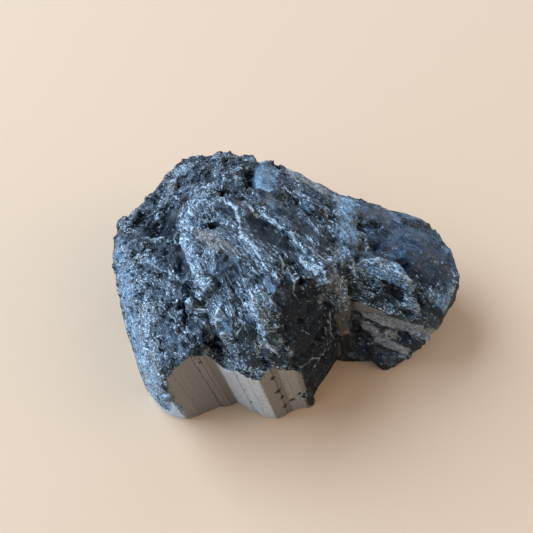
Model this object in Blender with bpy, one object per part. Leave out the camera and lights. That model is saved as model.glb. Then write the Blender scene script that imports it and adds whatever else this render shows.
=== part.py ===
"""Rough black tourmaline, a piece broken from one crystal, as a Blender 4.5 script.

The stone is a bundle of upright columns that grew together. Its sides are the columns' flat faces, which
lean a little, its top is an uneven break across them, and it rests on the flat break at its foot.
Lengths are in millimetres until the finished mesh is turned to metres. P and Q are plan coordinates
taken at the foot, so a column keeps its P and Q all the way up, while its X and Y follow the lean.
"""

import bpy
import numpy as np

MM = 0.001
NODE = "tourmaline"

# How far the columns lean, in X and Y, for each millimetre of height.
LEAN = (-0.18, -0.055)
# The columns are cut from stock that runs past the stone at both ends.
STOCK_FOOT = -4.0
STOCK_TOP = 32.0
# How far the cutters run on past the stock.
CUTTER_MARGIN = 4.0

# The radius of the blunt tips of the cones that the two breaks are fitted with.
CONE_BLUNTNESS = 0.8

# The plan area that the two breaks are cut over, and the spacing of their points.
PLAN_LOW = (-31.0, -25.0)
PLAN_HIGH = (34.0, 28.0)
TOP_SPACING = 0.9
FOOT_SPACING = 2.2
POINT_JITTER = 0.24

# Flat chips that the breaks fall into. A point's chips are those of the region whose middle is nearest.
CHIP_REGIONS = {
    # middle P and Q, chip length, width and heading, steepest slope, step
    "left_shoulder": (-18.0, 1.0, 2.3, 2.0, 0.0, 0.42, 0.36),
    "left_flank": (-20.5, -12.0, 2.8, 1.8, -75.0, 0.34, 0.26),
    "crest": (-1.0, -4.0, 5.2, 1.9, -50.0, 0.30, 0.26),
    "right": (19.0, 0.0, 4.8, 3.0, -25.0, 0.22, 0.28),
    "back": (-8.0, 18.0, 3.0, 2.3, 20.0, 0.36, 0.36),
}
FOOT_CHIPS = {"foot": (0.0, 0.0, 6.0, 4.5, 30.0, 0.30, 0.40)}
# How far a chip's middle strays from its place in the pattern, as a share of the chip.
CHIP_SCATTER = 0.45
SEED = 11

# The bundle's outline at its foot, from the front left corner round by the right.
FRONT_FACE = [
    (-20.6, -17.2),
    (-19.1, -18.7),
    (-17.6, -19.5),
    (-15.3, -20.0),
    (-10.1, -17.7),
    (-9.9, -17.95),
    (-8.6, -17.6),
    (-8.4, -17.3),
    (-7.7, -17.2),
]
FRONT_WEDGE = [
    (-4.9, -18.75),
    (-4.7, -18.6),
    (-3.6, -19.55),
    (-1.4, -19.9),
    (0.2, -19.1),
    (0.4, -18.85),
    (2.4, -18.0),
    (3.4, -17.4),
]
NOTCH = [
    (4.5, -15.7),
    (5.5, -14.0),
    (6.8, -12.1),
    (8.4, -9.6),
    (9.3, -9.3),
    (10.0, -9.5),
    (10.3, -8.6),
    (11.5, -8.2),
    (11.8, -6.6),
]
RIGHT_MASS = [
    (12.8, -6.8),
    (15.4, -7.5),
    (18.4, -8.3),
    (20.8, -9.0),
    (23.5, -9.5),
    (25.4, -8.0),
    (27.0, -5.2),
    (28.4, -3.2),
    (29.7, -0.1),
    (29.1, 5.1),
    (27.4, 7.4),
    (26.4, 9.9),
    (22.4, 11.4),
]
BACK = [
    (15.4, 12.5),
    (11.5, 13.2),
    (2.5, 19.8),
    (-3.6, 20.3),
    (-6.6, 22.9),
    (-11.0, 22.2),
    (-15.6, 22.9),
    (-18.2, 20.4),
    (-19.6, 18.1),
    (-21.7, 14.7),
    (-24.1, 12.5),
]
LEFT_SIDE = [
    (-26.1, 10.7),
    (-25.5, 1.0),
    (-25.2, -3.2),
    (-24.4, -8.0),
    (-23.4, -12.4),
    (-22.0, -15.4),
]

# Lower columns that stand in front of the bundle. Each ends at its height at the middle of its outline,
# with a top that slopes down to the front.
LOW_COLUMN_SLOPE = 1.1
LOW_FOOT = -2.6
LOW_COLUMNS = {
    "notch_back": (13.8, [(9.7, -6.2), (10.1, -9.2), (11.3, -9.1), (12.3, -5.6)]),
    "notch_foot": (3.0, [(8.6, -7.2), (9.1, -9.8), (13.7, -9.95), (14.0, -6.3)]),
    "stair_upper": (11.0, [(13.5, -5.6), (13.0, -7.8), (16.4, -8.9), (18.4, -9.4), (18.8, -7.0)]),
    "stair_middle": (7.4, [(15.2, -6.5), (14.3, -8.9), (17.2, -9.9), (20.0, -10.1), (20.3, -7.6)]),
    "stair_foot": (3.4, [(14.4, -6.8), (13.4, -9.0), (15.1, -10.8), (16.0, -11.5), (18.2, -11.1),
                         (20.6, -10.2), (21.1, -7.9)]),
    "stair_right": (9.6, [(20.1, -7.5), (20.6, -9.8), (23.6, -10.3), (23.9, -8.1)]),
}

# A small rounded nub low on the right of the wedge: its middle, radius and height.
NUB_MIDDLE = (3.3, -16.9)
NUB_RADIUS = 1.25
NUB_HEIGHT = 5.2
NUB_SIDES = 9
# The nub's rings above its foot: the share of its height and of its radius.
NUB_RINGS = [(0.66, 1.0), (0.90, 0.72), (1.0, 0.34)]

# Heights of the top break, as (P, Q, height): the left shoulder first.
SHOULDER_SPOTS = [
    (-22.0, 2.6, 14.6),
    (-18.7, -2.0, 16.0),
    (-16.4, 4.9, 15.8),
    (-19.6, 9.9, 14.8),
    (-24.6, 9.0, 13.2),
    (-25.4, 3.0, 13.2),
    (-15.9, -7.5, 16.0),
    (-12.2, -14.0, 17.0),
    (-15.6, -12.5, 15.6),
    (-14.2, -17.2, 15.6),
    (-10.4, -17.4, 18.4),
    (-8.9, -12.7, 19.0),
    (-8.5, -16.4, 18.7),
]
# The left flank, where the break runs down to the table.
FLANK_SPOTS = [
    (-17.6, -8.1, 14.0),
    (-17.4, -12.7, 13.6),
    (-16.4, -16.2, 13.4),
    (-15.3, -19.0, 13.6),
    (-15.6, -19.8, 9.5),
    (-16.8, -19.2, 4.6),
    (-18.2, -18.9, 2.0),
    (-18.6, -16.5, 8.6),
    (-19.9, -13.6, 8.8),
    (-20.8, -16.2, 2.6),
    (-22.4, -13.6, 2.0),
    (-21.0, -9.5, 9.4),
    (-23.0, -9.8, 4.6),
    (-24.0, -7.2, 6.8),
    (-22.0, -4.6, 12.4),
    (-24.9, -3.0, 8.8),
    (-25.3, 0.6, 12.0),
]
# The crest.
CREST_SPOTS = [
    (-12.2, 2.5, 18.6),
    (-11.3, -3.9, 19.2),
    (-10.0, -8.6, 19.6),
    (-12.3, 8.7, 18.6),
    (-15.4, 10.8, 16.6),
    (-1.4, -5.1, 23.0),
    (-1.5, -11.2, 22.0),
    (-4.5, -14.6, 20.2),
    (-0.7, -15.6, 19.2),
    (-4.3, 0.3, 23.2),
    (-7.8, -2.5, 22.2),
    (0.3, 0.3, 23.0),
    (5.7, -1.1, 22.4),
    (5.3, -7.6, 21.4),
    (8.4, -8.2, 20.4),
    (8.6, -3.4, 21.0),
    (-5.8, 8.0, 21.2),
    (-2.5, 14.2, 19.0),
    (5.1, 8.7, 19.6),
    (8.3, 5.1, 20.0),
]
# The top of the front wedge.
WEDGE_SPOTS = [
    (-7.2, -17.0, 14.4),
    (-5.4, -18.2, 14.8),
    (-3.4, -19.4, 15.2),
    (-4.2, -17.0, 18.0),
    (-1.3, -19.6, 15.2),
    (0.6, -18.4, 17.2),
    (2.0, -17.7, 14.6),
    (3.2, -17.1, 12.4),
    (3.9, -16.5, 7.0),
]
# The steep break between the wedge and the notch.
DARK_BREAK_SPOTS = [
    (1.6, -15.4, 18.0),
    (3.4, -13.6, 19.0),
    (5.0, -10.8, 20.0),
    (3.8, -14.9, 12.6),
    (5.6, -12.2, 12.6),
    (7.3, -9.9, 14.0),
    (5.9, -13.2, 3.2),
    (4.3, -16.0, 4.6),
    (7.9, -10.3, 4.6),
    (9.3, -8.6, 18.6),
]
# The right mass.
RIGHT_SPOTS = [
    (11.0, -4.4, 19.2),
    (12.2, -6.9, 15.2),
    (12.8, 1.5, 18.4),
    (13.3, 8.5, 17.6),
    (11.4, 12.4, 16.8),
    (17.0, -1.2, 16.8),
    (16.0, -6.6, 15.2),
    (18.4, -7.6, 14.2),
    (20.4, 1.8, 15.8),
    (21.6, -4.0, 15.0),
    (23.9, 4.6, 14.8),
    (21.5, 10.3, 14.2),
    (26.0, 8.8, 12.8),
    (28.6, 4.6, 12.6),
    (29.2, 0.0, 11.8),
    (27.6, -3.0, 11.8),
    (25.2, -6.2, 11.0),
    (23.3, -8.6, 10.8),
    (20.8, -8.2, 12.8),
]
# The back.
BACK_SPOTS = [
    (-8.6, 21.8, 17.6),
    (-4.3, 19.3, 18.2),
    (2.3, 18.9, 17.0),
    (5.5, 14.0, 17.8),
    (-13.6, 21.8, 15.8),
    (-16.4, 20.6, 14.8),
    (-19.6, 17.2, 13.4),
    (-22.8, 13.0, 13.0),
    (-11.6, 14.6, 17.2),
    (-16.0, 14.6, 15.2),
]

# Hollows, cracks, lumps and ridges of the top break. A lump or a ridge has a negative depth.
HOLLOWS = [
    # middle P and Q, half length, half width, heading, depth
    # the left shoulder: a deep hollow with a chip standing in it, and smaller ones
    (-17.8, 7.4, 3.4, 2.3, -72.0, 1.9),
    (-18.5, 10.0, 1.1, 1.0, 0.0, -1.0),
    (-21.8, 8.2, 1.9, 1.4, 0.0, 1.1),
    (-15.4, 0.8, 1.7, 1.3, 40.0, 0.9),
    (-20.6, 3.4, 1.8, 1.5, 0.0, -0.9),
    (-19.0, -4.4, 1.9, 1.4, 20.0, 0.9),
    (-14.4, -5.6, 2.0, 1.5, -40.0, -0.8),
    (-14.0, -14.0, 1.9, 1.5, 10.0, 0.8),
    (-21.0, -7.6, 1.8, 1.2, -60.0, 1.0),
    (-19.6, -11.4, 1.6, 1.1, -60.0, 0.9),
    # the crack that winds down between the shoulder and the crest, and the pit at its foot
    (-11.3, -8.3, 2.1, 0.8, -75.0, 1.4),
    (-12.9, -9.6, 1.7, 0.8, 175.0, 1.1),
    (-11.2, -11.2, 1.8, 0.8, -88.0, 1.0),
    (-6.9, -15.2, 1.4, 1.0, -60.0, 1.9),
    # the crest: smooth scoops and long ridges between them
    (-7.4, 2.7, 1.8, 0.9, 0.0, 0.9),
    (0.2, 0.2, 4.8, 1.9, -47.0, 0.8),
    (6.3, 3.2, 2.6, 1.5, -50.0, 0.8),
    (-5.2, 4.8, 5.2, 1.0, -58.0, -0.8),
    (-0.9, -13.0, 3.8, 0.9, -80.0, -0.7),
    (-4.4, -14.6, 3.4, 0.9, -62.0, -0.8),
    (3.4, -8.0, 4.2, 0.9, -55.0, -0.6),
    (-4.2, -7.0, 4.0, 1.0, -60.0, 0.6),
    # the back: lumps, the crevices beside them, and the crevice before the right mass
    (-2.6, 14.2, 3.8, 1.2, -86.0, 1.8),
    (-0.2, 14.8, 2.6, 1.9, -50.0, -0.9),
    (-11.5, 18.6, 2.4, 2.0, 0.0, -1.3),
    (-6.4, 19.0, 2.3, 1.8, 60.0, -1.3),
    (-17.0, 17.2, 1.9, 1.6, 0.0, -0.8),
    (-14.0, 13.4, 2.3, 1.4, 20.0, 1.0),
    (-8.6, 14.4, 2.0, 1.4, -20.0, 0.9),
    (4.4, 9.7, 3.2, 1.0, -60.0, 1.5),
    (7.7, 6.2, 2.0, 0.9, -50.0, 1.2),
    (8.8, 9.4, 1.9, 1.5, 0.0, -0.9),
    # the right mass: holes, a slot, and a tongue that stands over a crevice
    (14.8, 5.8, 1.5, 1.2, 0.0, 1.6),
    (16.8, 6.6, 1.1, 0.8, 0.0, 1.0),
    (16.1, 1.9, 1.7, 0.9, 15.0, 1.4),
    (18.6, -2.7, 3.4, 1.7, -28.0, -1.3),
    (18.5, -5.3, 2.6, 1.0, -22.0, 1.7),
    (23.0, -6.4, 2.2, 1.2, 10.0, 0.9),
    (12.1, -5.9, 1.4, 1.0, -60.0, 1.8),
    (13.4, 8.6, 2.0, 1.6, 0.0, -0.8),
]
# Ledges, where the ground to the right of the line from start to end lies lower by the drop.
LEDGES = [
    # start, end, reach, drop
    ((9.7, 9.8), (9.9, -6.0), -3.2, 1.1),
    ((-14.6, 9.2), (-12.4, 0.6), 3.2, 1.1),
    ((-12.8, 0.6), (-9.6, -7.0), 2.8, 0.9),
    ((0.1, 4.4), (5.8, -2.6), 2.6, 0.7),
    ((-8.4, -8.0), (-3.6, -13.8), 2.6, 0.6),
]

# The underside: flat where it rests, and rising towards the right, the back left and the left flank.
FOOT_SPOTS = [
    (0.0, 0.0, -2.2),
    (-13.0, -13.0, -1.6),
    (-14.0, 6.0, -1.4),
    (-21.5, -14.5, -0.4),
    (-25.0, 4.0, 2.8),
    (-22.0, 14.0, 2.2),
    (-10.0, 21.0, 1.4),
    (2.0, 17.0, -0.2),
    (3.0, -16.0, -1.6),
    (12.0, 0.0, -1.4),
    (15.0, -10.0, -1.0),
    (18.4, -10.8, 0.2),
    (20.8, -9.6, 2.6),
    (22.4, -9.4, 6.0),
    (23.6, -9.4, 7.4),
    (25.4, -8.0, 9.2),
    (27.4, -4.8, 8.4),
    (29.6, 0.0, 8.2),
    (28.4, 5.0, 8.2),
    (26.0, 9.6, 7.6),
    (23.0, -2.0, 3.4),
    (19.0, 3.0, 0.2),
    (20.0, 11.5, 4.0),
    (14.0, 12.0, 1.2),
]


def remove_everything():
    """Empties the scene that the script starts in."""
    for thing in list(bpy.data.objects):
        bpy.data.objects.remove(thing, do_unlink=True)


def stone_material():
    """Black tourmaline: a near black stone with a glassy surface."""
    material = bpy.data.materials.new("black_tourmaline")
    material.use_nodes = True
    shader = material.node_tree.nodes["Principled BSDF"]
    shader.inputs["Base Color"].default_value = (0.018, 0.022, 0.028, 1.0)
    shader.inputs["Roughness"].default_value = 0.34
    shader.inputs["Metallic"].default_value = 0.0
    return material


def leaned(p, q, z):
    """Turns plan coordinates at a height into X, Y and Z."""
    return (p + LEAN[0] * z, q + LEAN[1] * z, z)


def mesh_object(name, vertices, faces, material):
    """Makes an object of a mesh, with its material."""
    mesh = bpy.data.meshes.new(name)
    mesh.from_pydata(vertices, [], faces)
    mesh.validate()
    mesh.materials.append(material)
    thing = bpy.data.objects.new(name, mesh)
    bpy.context.scene.collection.objects.link(thing)
    return thing


def column(name, outline, foot, top, slope, material):
    """A closed prism over an outline that runs counter-clockwise, leaning as the columns do.

    Its ends are at their heights at the outline's middle, and rise by the slope for each millimetre of Q.
    """
    count = len(outline)
    middle = sum(q for p, q in outline) / count
    vertices = [leaned(p, q, foot + slope * (q - middle)) for p, q in outline]
    vertices += [leaned(p, q, top + slope * (q - middle)) for p, q in outline]
    faces = [tuple(reversed(range(count))), tuple(range(count, 2 * count))]
    for i in range(count):
        after = (i + 1) % count
        faces.append((i, after, count + after, count + i))
    return mesh_object(name, vertices, faces, material)


def through(spots):
    """The smooth sheet that passes through all the spots, as a function of P and Q.

    It is a plane plus a blunt cone around each spot, with the cones' weights solved so that it fits.
    """
    spots = np.array(spots)
    at = spots[:, :2]

    def cones(points):
        gaps = points[:, None, :] - at[None, :, :]
        return np.sqrt((gaps ** 2).sum(axis=2) + CONE_BLUNTNESS ** 2)

    count = len(spots)
    system = np.zeros((count + 3, count + 3))
    system[:count, :count] = cones(at)
    system[:count, count] = 1.0
    system[:count, count + 1:] = at
    system[count:, :count] = system[:count, count:].T
    weights = np.linalg.solve(system, np.concatenate([spots[:, 2], np.zeros(3)]))

    def height(p, q):
        points = np.column_stack([p, q])
        return cones(points) @ weights[:count] + weights[count] + points @ weights[count + 1:]

    return height


def turned(p, q, heading):
    """Coordinates along and across a heading, which is in degrees from P towards Q."""
    turn = np.radians(heading)
    return p * np.cos(turn) + q * np.sin(turn), q * np.cos(turn) - p * np.sin(turn)


def chips(p, q, length, width, heading, slope, step, rng):
    """Flat chips: each point takes the tilt and step of the nearest of many scattered chip middles."""
    reach = np.hypot(PLAN_HIGH[0] - PLAN_LOW[0], PLAN_HIGH[1] - PLAN_LOW[1]) / 2.0
    across = np.arange(-reach, reach, length) / length
    along = np.arange(-reach, reach, width) / width
    middles = np.array([(a, b) for a in across for b in along])
    middles += rng.uniform(-CHIP_SCATTER, CHIP_SCATTER, middles.shape)
    tilts = rng.uniform(-slope, slope, middles.shape)
    steps = rng.uniform(-step, step, len(middles))
    points = np.column_stack(turned(p, q, heading)) / (length, width)
    gaps = points[:, None, :] - middles[None, :, :]
    nearest = (gaps ** 2).sum(axis=2).argmin(axis=1)
    offset = (points - middles[nearest]) * (length, width)
    return (offset * tilts[nearest]).sum(axis=1) + steps[nearest]


def regional_chips(p, q, regions, rng):
    """The chips of each region, used where that region's middle is the nearest."""
    fields = np.array([chips(p, q, *values[2:], rng) for values in regions.values()])
    away = np.array([np.hypot(p - values[0], q - values[1]) for values in regions.values()])
    return np.take_along_axis(fields, away.argmin(axis=0)[None, :], axis=0)[0]


def hollows(p, q):
    """The depth of the named hollows and lumps, each a smooth oval bowl that fades out at its rim."""
    depth = np.zeros_like(p)
    for middle_p, middle_q, length, width, heading, deep in HOLLOWS:
        along, across = turned(p - middle_p, q - middle_q, heading)
        depth += deep * np.clip(1.0 - (along / length) ** 2 - (across / width) ** 2, 0.0, 1.0)
    return depth


def ledges(p, q):
    """The drop beside each ledge: sudden at its line, then fading out over its reach and at its ends.

    A negative reach puts the low ground on the left of the line.
    """
    drop = np.zeros_like(p)
    for start, end, reach, deep in LEDGES:
        run = np.subtract(end, start)
        length = np.hypot(*run)
        run = run / length
        along = (p - start[0]) * run[0] + (q - start[1]) * run[1]
        aside = ((p - start[0]) * run[1] - (q - start[1]) * run[0]) / reach
        middle = np.clip(1.0 - (2.0 * along / length - 1.0) ** 4, 0.0, 1.0)
        drop += deep * middle * np.where(aside > 0.0, np.clip(1.0 - aside, 0.0, 1.0), 0.0)
    return drop


def break_sheet(name, spacing, height, lid, rng, material):
    """A closed solid between a rough sheet and a flat lid, used as a cutter.

    The sheet's points are a grid over the plan, each moved a little so that no rows show.
    """
    across = np.arange(PLAN_LOW[0], PLAN_HIGH[0] + spacing, spacing)
    along = np.arange(PLAN_LOW[1], PLAN_HIGH[1] + spacing, spacing)
    columns, rows = len(across), len(along)
    p, q = np.meshgrid(across, along)
    p = p + rng.uniform(-POINT_JITTER, POINT_JITTER, p.shape) * spacing
    q = q + rng.uniform(-POINT_JITTER, POINT_JITTER, q.shape) * spacing
    z = height(p.ravel(), q.ravel())
    vertices = [leaned(*point) for point in zip(p.ravel(), q.ravel(), z)]
    upright = lid > 0.0
    faces = []
    for row in range(rows - 1):
        for col in range(columns - 1):
            a = row * columns + col
            square = (a, a + 1, a + 1 + columns, a + columns)
            turn = int(rng.integers(2))
            for half in ((turn, turn + 1, turn + 2), (turn + 2, turn + 3, turn)):
                corner = [square[i % 4] for i in half]
                faces.append(tuple(reversed(corner)) if upright else tuple(corner))
    rim = list(range(columns))
    rim += [row * columns + columns - 1 for row in range(1, rows)]
    rim += [(rows - 1) * columns + col for col in range(columns - 2, -1, -1)]
    rim += [row * columns for row in range(rows - 2, 0, -1)]
    first = len(vertices)
    vertices += [leaned(p.ravel()[i], q.ravel()[i], lid) for i in rim]
    for i, corner in enumerate(rim):
        after = (i + 1) % len(rim)
        wall = (corner, rim[after], first + after, first + i)
        faces.append(wall if upright else tuple(reversed(wall)))
    lid_face = tuple(range(first, first + len(rim)))
    faces.append(lid_face if upright else tuple(reversed(lid_face)))
    return mesh_object(name, vertices, faces, material)


def top_break(rng, material):
    """The cutter whose underside is the stone's broken top."""
    spots = (SHOULDER_SPOTS + FLANK_SPOTS + CREST_SPOTS + WEDGE_SPOTS + DARK_BREAK_SPOTS
             + RIGHT_SPOTS + BACK_SPOTS)
    sheet = through(spots)

    def height(p, q):
        return sheet(p, q) + regional_chips(p, q, CHIP_REGIONS, rng) - hollows(p, q) - ledges(p, q)

    return break_sheet("top_break", TOP_SPACING, height, STOCK_TOP + CUTTER_MARGIN, rng, material)


def foot_break(rng, material):
    """The cutter whose upper side is the underside of the stone, flat at zero where it rests."""
    sheet = through(FOOT_SPOTS)

    def height(p, q):
        return np.maximum(sheet(p, q) + regional_chips(p, q, FOOT_CHIPS, rng), 0.0)

    return break_sheet("foot_break", FOOT_SPACING, height, STOCK_FOOT - CUTTER_MARGIN, rng, material)


def nub(material):
    """The rounded nub: a leaning column that narrows to a blunt top."""
    turns = np.linspace(0.0, 2.0 * np.pi, NUB_SIDES, endpoint=False)
    rings = [(LOW_FOOT, 1.0)] + [(rise * NUB_HEIGHT, share) for rise, share in NUB_RINGS]
    vertices = []
    for z, share in rings:
        for turn in turns:
            p = NUB_MIDDLE[0] + NUB_RADIUS * share * np.cos(turn)
            q = NUB_MIDDLE[1] + NUB_RADIUS * share * np.sin(turn)
            vertices.append(leaned(p, q, z))
    faces = [tuple(reversed(range(NUB_SIDES)))]
    for ring in range(len(rings) - 1):
        for i in range(NUB_SIDES):
            after = (i + 1) % NUB_SIDES
            low, high = ring * NUB_SIDES, (ring + 1) * NUB_SIDES
            faces.append((low + i, low + after, high + after, high + i))
    faces.append(tuple(range((len(rings) - 1) * NUB_SIDES, len(rings) * NUB_SIDES)))
    return mesh_object("nub", vertices, faces, material)


def combine(stone, tool, operation):
    """Applies one exact Boolean to the stone, and removes the tool."""
    change = stone.modifiers.new(tool.name, "BOOLEAN")
    change.operation = operation
    change.solver = "EXACT"
    change.object = tool
    bpy.context.view_layer.update()
    done = stone.evaluated_get(bpy.context.evaluated_depsgraph_get())
    mesh = bpy.data.meshes.new_from_object(done)
    stone.modifiers.clear()
    stone.data = mesh
    bpy.data.objects.remove(tool, do_unlink=True)


def stand_on_origin(stone):
    """Turns the mesh to metres, with the middle of the foot of its bounding box at the origin."""
    points = np.empty(len(stone.data.vertices) * 3)
    stone.data.vertices.foreach_get("co", points)
    points = points.reshape(-1, 3)
    low, high = points.min(axis=0), points.max(axis=0)
    middle = (low + high) / 2.0
    points -= (middle[0], middle[1], low[2])
    stone.data.vertices.foreach_set("co", (points * MM).ravel())
    stone.data.update()


def make_stone():
    """The whole stone: the bundle with its low columns and nub joined on, cut by its two breaks."""
    remove_everything()
    rng = np.random.default_rng(SEED)
    material = stone_material()
    outline = FRONT_FACE + FRONT_WEDGE + NOTCH + RIGHT_MASS + BACK + LEFT_SIDE
    stone = column(NODE, outline, STOCK_FOOT, STOCK_TOP, 0.0, material)
    for name, (top, low_outline) in LOW_COLUMNS.items():
        low_column = column(name, low_outline, LOW_FOOT, top, LOW_COLUMN_SLOPE, material)
        combine(stone, low_column, "UNION")
    combine(stone, nub(material), "UNION")
    combine(stone, top_break(rng, material), "DIFFERENCE")
    combine(stone, foot_break(rng, material), "DIFFERENCE")
    stand_on_origin(stone)


make_stone()
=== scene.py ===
"""Dresses the rough black tourmaline: its fine break, striated faces, material, floor and light."""

import itertools
import math

import bmesh
import bpy
import numpy as np
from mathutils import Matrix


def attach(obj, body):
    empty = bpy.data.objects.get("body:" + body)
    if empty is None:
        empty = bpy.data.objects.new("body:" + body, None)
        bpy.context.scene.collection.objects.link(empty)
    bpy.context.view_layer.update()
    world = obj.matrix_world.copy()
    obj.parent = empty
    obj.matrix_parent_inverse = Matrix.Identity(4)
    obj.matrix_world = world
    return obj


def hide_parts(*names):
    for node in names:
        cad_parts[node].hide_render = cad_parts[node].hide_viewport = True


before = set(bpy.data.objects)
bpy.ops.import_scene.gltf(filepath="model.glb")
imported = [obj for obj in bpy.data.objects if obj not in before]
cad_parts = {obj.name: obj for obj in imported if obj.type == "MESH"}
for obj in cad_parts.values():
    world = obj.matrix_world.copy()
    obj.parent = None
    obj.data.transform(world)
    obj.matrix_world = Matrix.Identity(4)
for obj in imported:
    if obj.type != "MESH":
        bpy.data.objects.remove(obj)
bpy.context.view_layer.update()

# ---------------------------------------------------------------------------------------------------
# The camera. It looks down on the front of the stone from about 10 cm away, as someone bending over a
# table does, through a lens that takes in the stone and some of the table round it.

# A millimetre in metres. The camera's place is in millimetres.
MM = 0.001
CAMERA_AT = (-3.1, -61.9, 93.8)
CAMERA_ELEVATION = 53.0
LENS_MM = 43.2

lens = bpy.data.cameras.new("camera")
lens.lens = LENS_MM
lens.sensor_width = 36.0
lens.clip_start = 0.005
lens.clip_end = 20.0
camera = bpy.data.objects.new("camera", lens)
camera.location = [length * MM for length in CAMERA_AT]
camera.rotation_euler = (math.radians(90.0 - CAMERA_ELEVATION), 0.0, 0.0)
bpy.context.scene.collection.objects.link(camera)
bpy.context.scene.camera = camera

# ---------------------------------------------------------------------------------------------------
# The stone's skin. The specimen is one piece of schorl: leaning prism columns, grown together, whose
# flat sides were formed by growth, and whose top and foot broke into chips, splinters and scoops.

# Lengths are in millimetres. The columns lean by LEAN along X and Y for each millimetre up, to the left
# and the front. P and Q are counted from PLAN_MIDDLE.
LEAN = (-0.18, -0.055)
PLAN_MIDDLE = (0.085, -1.067)

# The size of the skin's voxels, about how many triangles it keeps, and how high its flat foot reaches.
SKIN_VOXEL = 0.27
SKIN_TRIANGLES = 192000
FOOT_TOP = 0.02

# How nearly a triangle of a column's side runs along the lean, and the area of the smallest side.
SIDE_ANGLE = 0.02
SMALLEST_SIDE = 1.5

# For a vertex on a side, the least cosine between its normal and the side's, and how far from the side it
# may be; then the same for a vertex at an edge between two sides.
ON_SIDE = (0.93, 0.06)
ON_EDGE = (0.68, 0.10)


def read(items, what, width=3, kind=np.float64):
    """Reads one property of all of a mesh's vertices, edges or triangles into an array of rows."""
    values = np.empty(len(items) * width, dtype=kind)
    items.foreach_get(what, values)
    return values.reshape(-1, width)


def evaluated(thing):
    """The mesh of an object with its modifiers applied."""
    bpy.context.view_layer.update()
    return bpy.data.meshes.new_from_object(thing.evaluated_get(bpy.context.evaluated_depsgraph_get()))


def smoothstep(value, low, high):
    """0 below low, 1 above high, and a smooth curve between them."""
    share = np.clip((value - low) / (high - low), 0.0, 1.0)
    return share * share * (3.0 - 2.0 * share)


def plan(points):
    """P, Q and height in millimetres: X and Y with the columns' lean taken out."""
    x, y, z = (points / MM).T
    return np.column_stack([x - PLAN_MIDDLE[0] - LEAN[0] * z, y - PLAN_MIDDLE[1] - LEAN[1] * z, z])


def side_planes(mesh):
    """The planes of the columns' sides: triangles that run along the lean, gathered by their plane."""
    mesh.calc_loop_triangles()
    normals = read(mesh.loop_triangles, "normal")
    areas = read(mesh.loop_triangles, "area", 1)[:, 0] / MM ** 2
    corners = read(mesh.loop_triangles, "vertices", 3, np.int32)
    points = read(mesh.vertices, "co") / MM
    up = np.array([LEAN[0], LEAN[1], 1.0])
    upright = np.abs(normals @ up) < SIDE_ANGLE
    offsets = (normals * points[corners[:, 0]]).sum(axis=1)
    rows = np.column_stack([normals, offsets])[upright]
    # Normals that agree to a fortieth, and offsets that agree to an eighth of a millimetre, are one side's.
    _, group = np.unique(np.round(rows * (40, 40, 40, 8)), axis=0, return_inverse=True)
    group = group.ravel()
    area = np.bincount(group, weights=areas[upright])
    sums = [np.bincount(group, weights=rows[:, i] * areas[upright]) for i in range(4)]
    return (np.column_stack(sums) / area[:, None])[area > SMALLEST_SIDE]


# The solid's triangles are joined at their corners, so that it is one closed surface.
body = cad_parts["tourmaline"].data.copy()
shell = bmesh.new()
shell.from_mesh(body)
bmesh.ops.remove_doubles(shell, verts=shell.verts, dist=0.001 * MM)
shell.to_mesh(body)
shell.free()
solid = bpy.data.objects.new("solid_guide", body)
bpy.context.scene.collection.objects.link(solid)
skin = bpy.data.objects.new("tourmaline_skin", body.copy())
bpy.context.scene.collection.objects.link(skin)

remesh = skin.modifiers.new("remesh", "REMESH")
remesh.mode = "VOXEL"
remesh.voxel_size = SKIN_VOXEL * MM
wrap = skin.modifiers.new("wrap", "SHRINKWRAP")
wrap.target = solid
dense = evaluated(skin)
skin.modifiers.clear()
skin.data = dense


def spread(values, edges, times):
    """Averages each vertex's value with its neighbours', over and over."""
    count = np.bincount(edges.ravel(), minlength=len(values))
    for _ in range(times):
        total = np.bincount(edges[:, 0], values[edges[:, 1]], len(values))
        total += np.bincount(edges[:, 1], values[edges[:, 0]], len(values))
        values = 0.5 * values + 0.5 * total / count
    return values


def side_share(points, normals, edges, planes):
    """1 for a vertex on one of the columns' flat sides and 0 elsewhere.

    At an edge or groove between two sides a vertex faces neither of them, and counts if others near it do.
    """
    away = np.abs(points / MM @ planes[:, :3].T - planes[:, 3])
    facing = normals @ planes[:, :3].T
    flat = (np.where(facing > ON_SIDE[0], away, np.inf).min(axis=1) < ON_SIDE[1]).astype(float)
    edge = np.where(facing > ON_EDGE[0], away, np.inf).min(axis=1) < ON_EDGE[1]
    return np.maximum(flat, edge & (spread(flat, edges, 3) > 0.3))


def add_group(thing, name, chosen):
    """A vertex group that holds the chosen vertices."""
    thing.vertex_groups.new(name=name).add(np.flatnonzero(chosen).tolist(), 1.0, "REPLACE")


planes = side_planes(body)
points = read(dense.vertices, "co")
normals = read(dense.vertex_normals, "vector")
edges = read(dense.edges, "vertices", 2, np.int32)
side = side_share(points, normals, edges, planes)
foot = (points[:, 2] < FOOT_TOP * MM).astype(float)
add_group(skin, "break", np.maximum(side, foot) < 0.5)
add_group(skin, "foot", spread(foot, edges, 3) > 0.98)

# The corners of the solid's triangles are worn off the break, and the flat foot keeps few points.
smooth = skin.modifiers.new("smooth", "SMOOTH")
smooth.vertex_group = "break"
smooth.iterations = 3
smooth.factor = 0.5
thin = skin.modifiers.new("thin", "DECIMATE")
thin.vertex_group = "foot"
thin.ratio = SKIN_TRIANGLES / (2.0 * len(dense.polygons))
fine = evaluated(skin)
skin.modifiers.clear()
skin.vertex_groups.clear()
skin.data = fine


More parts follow.
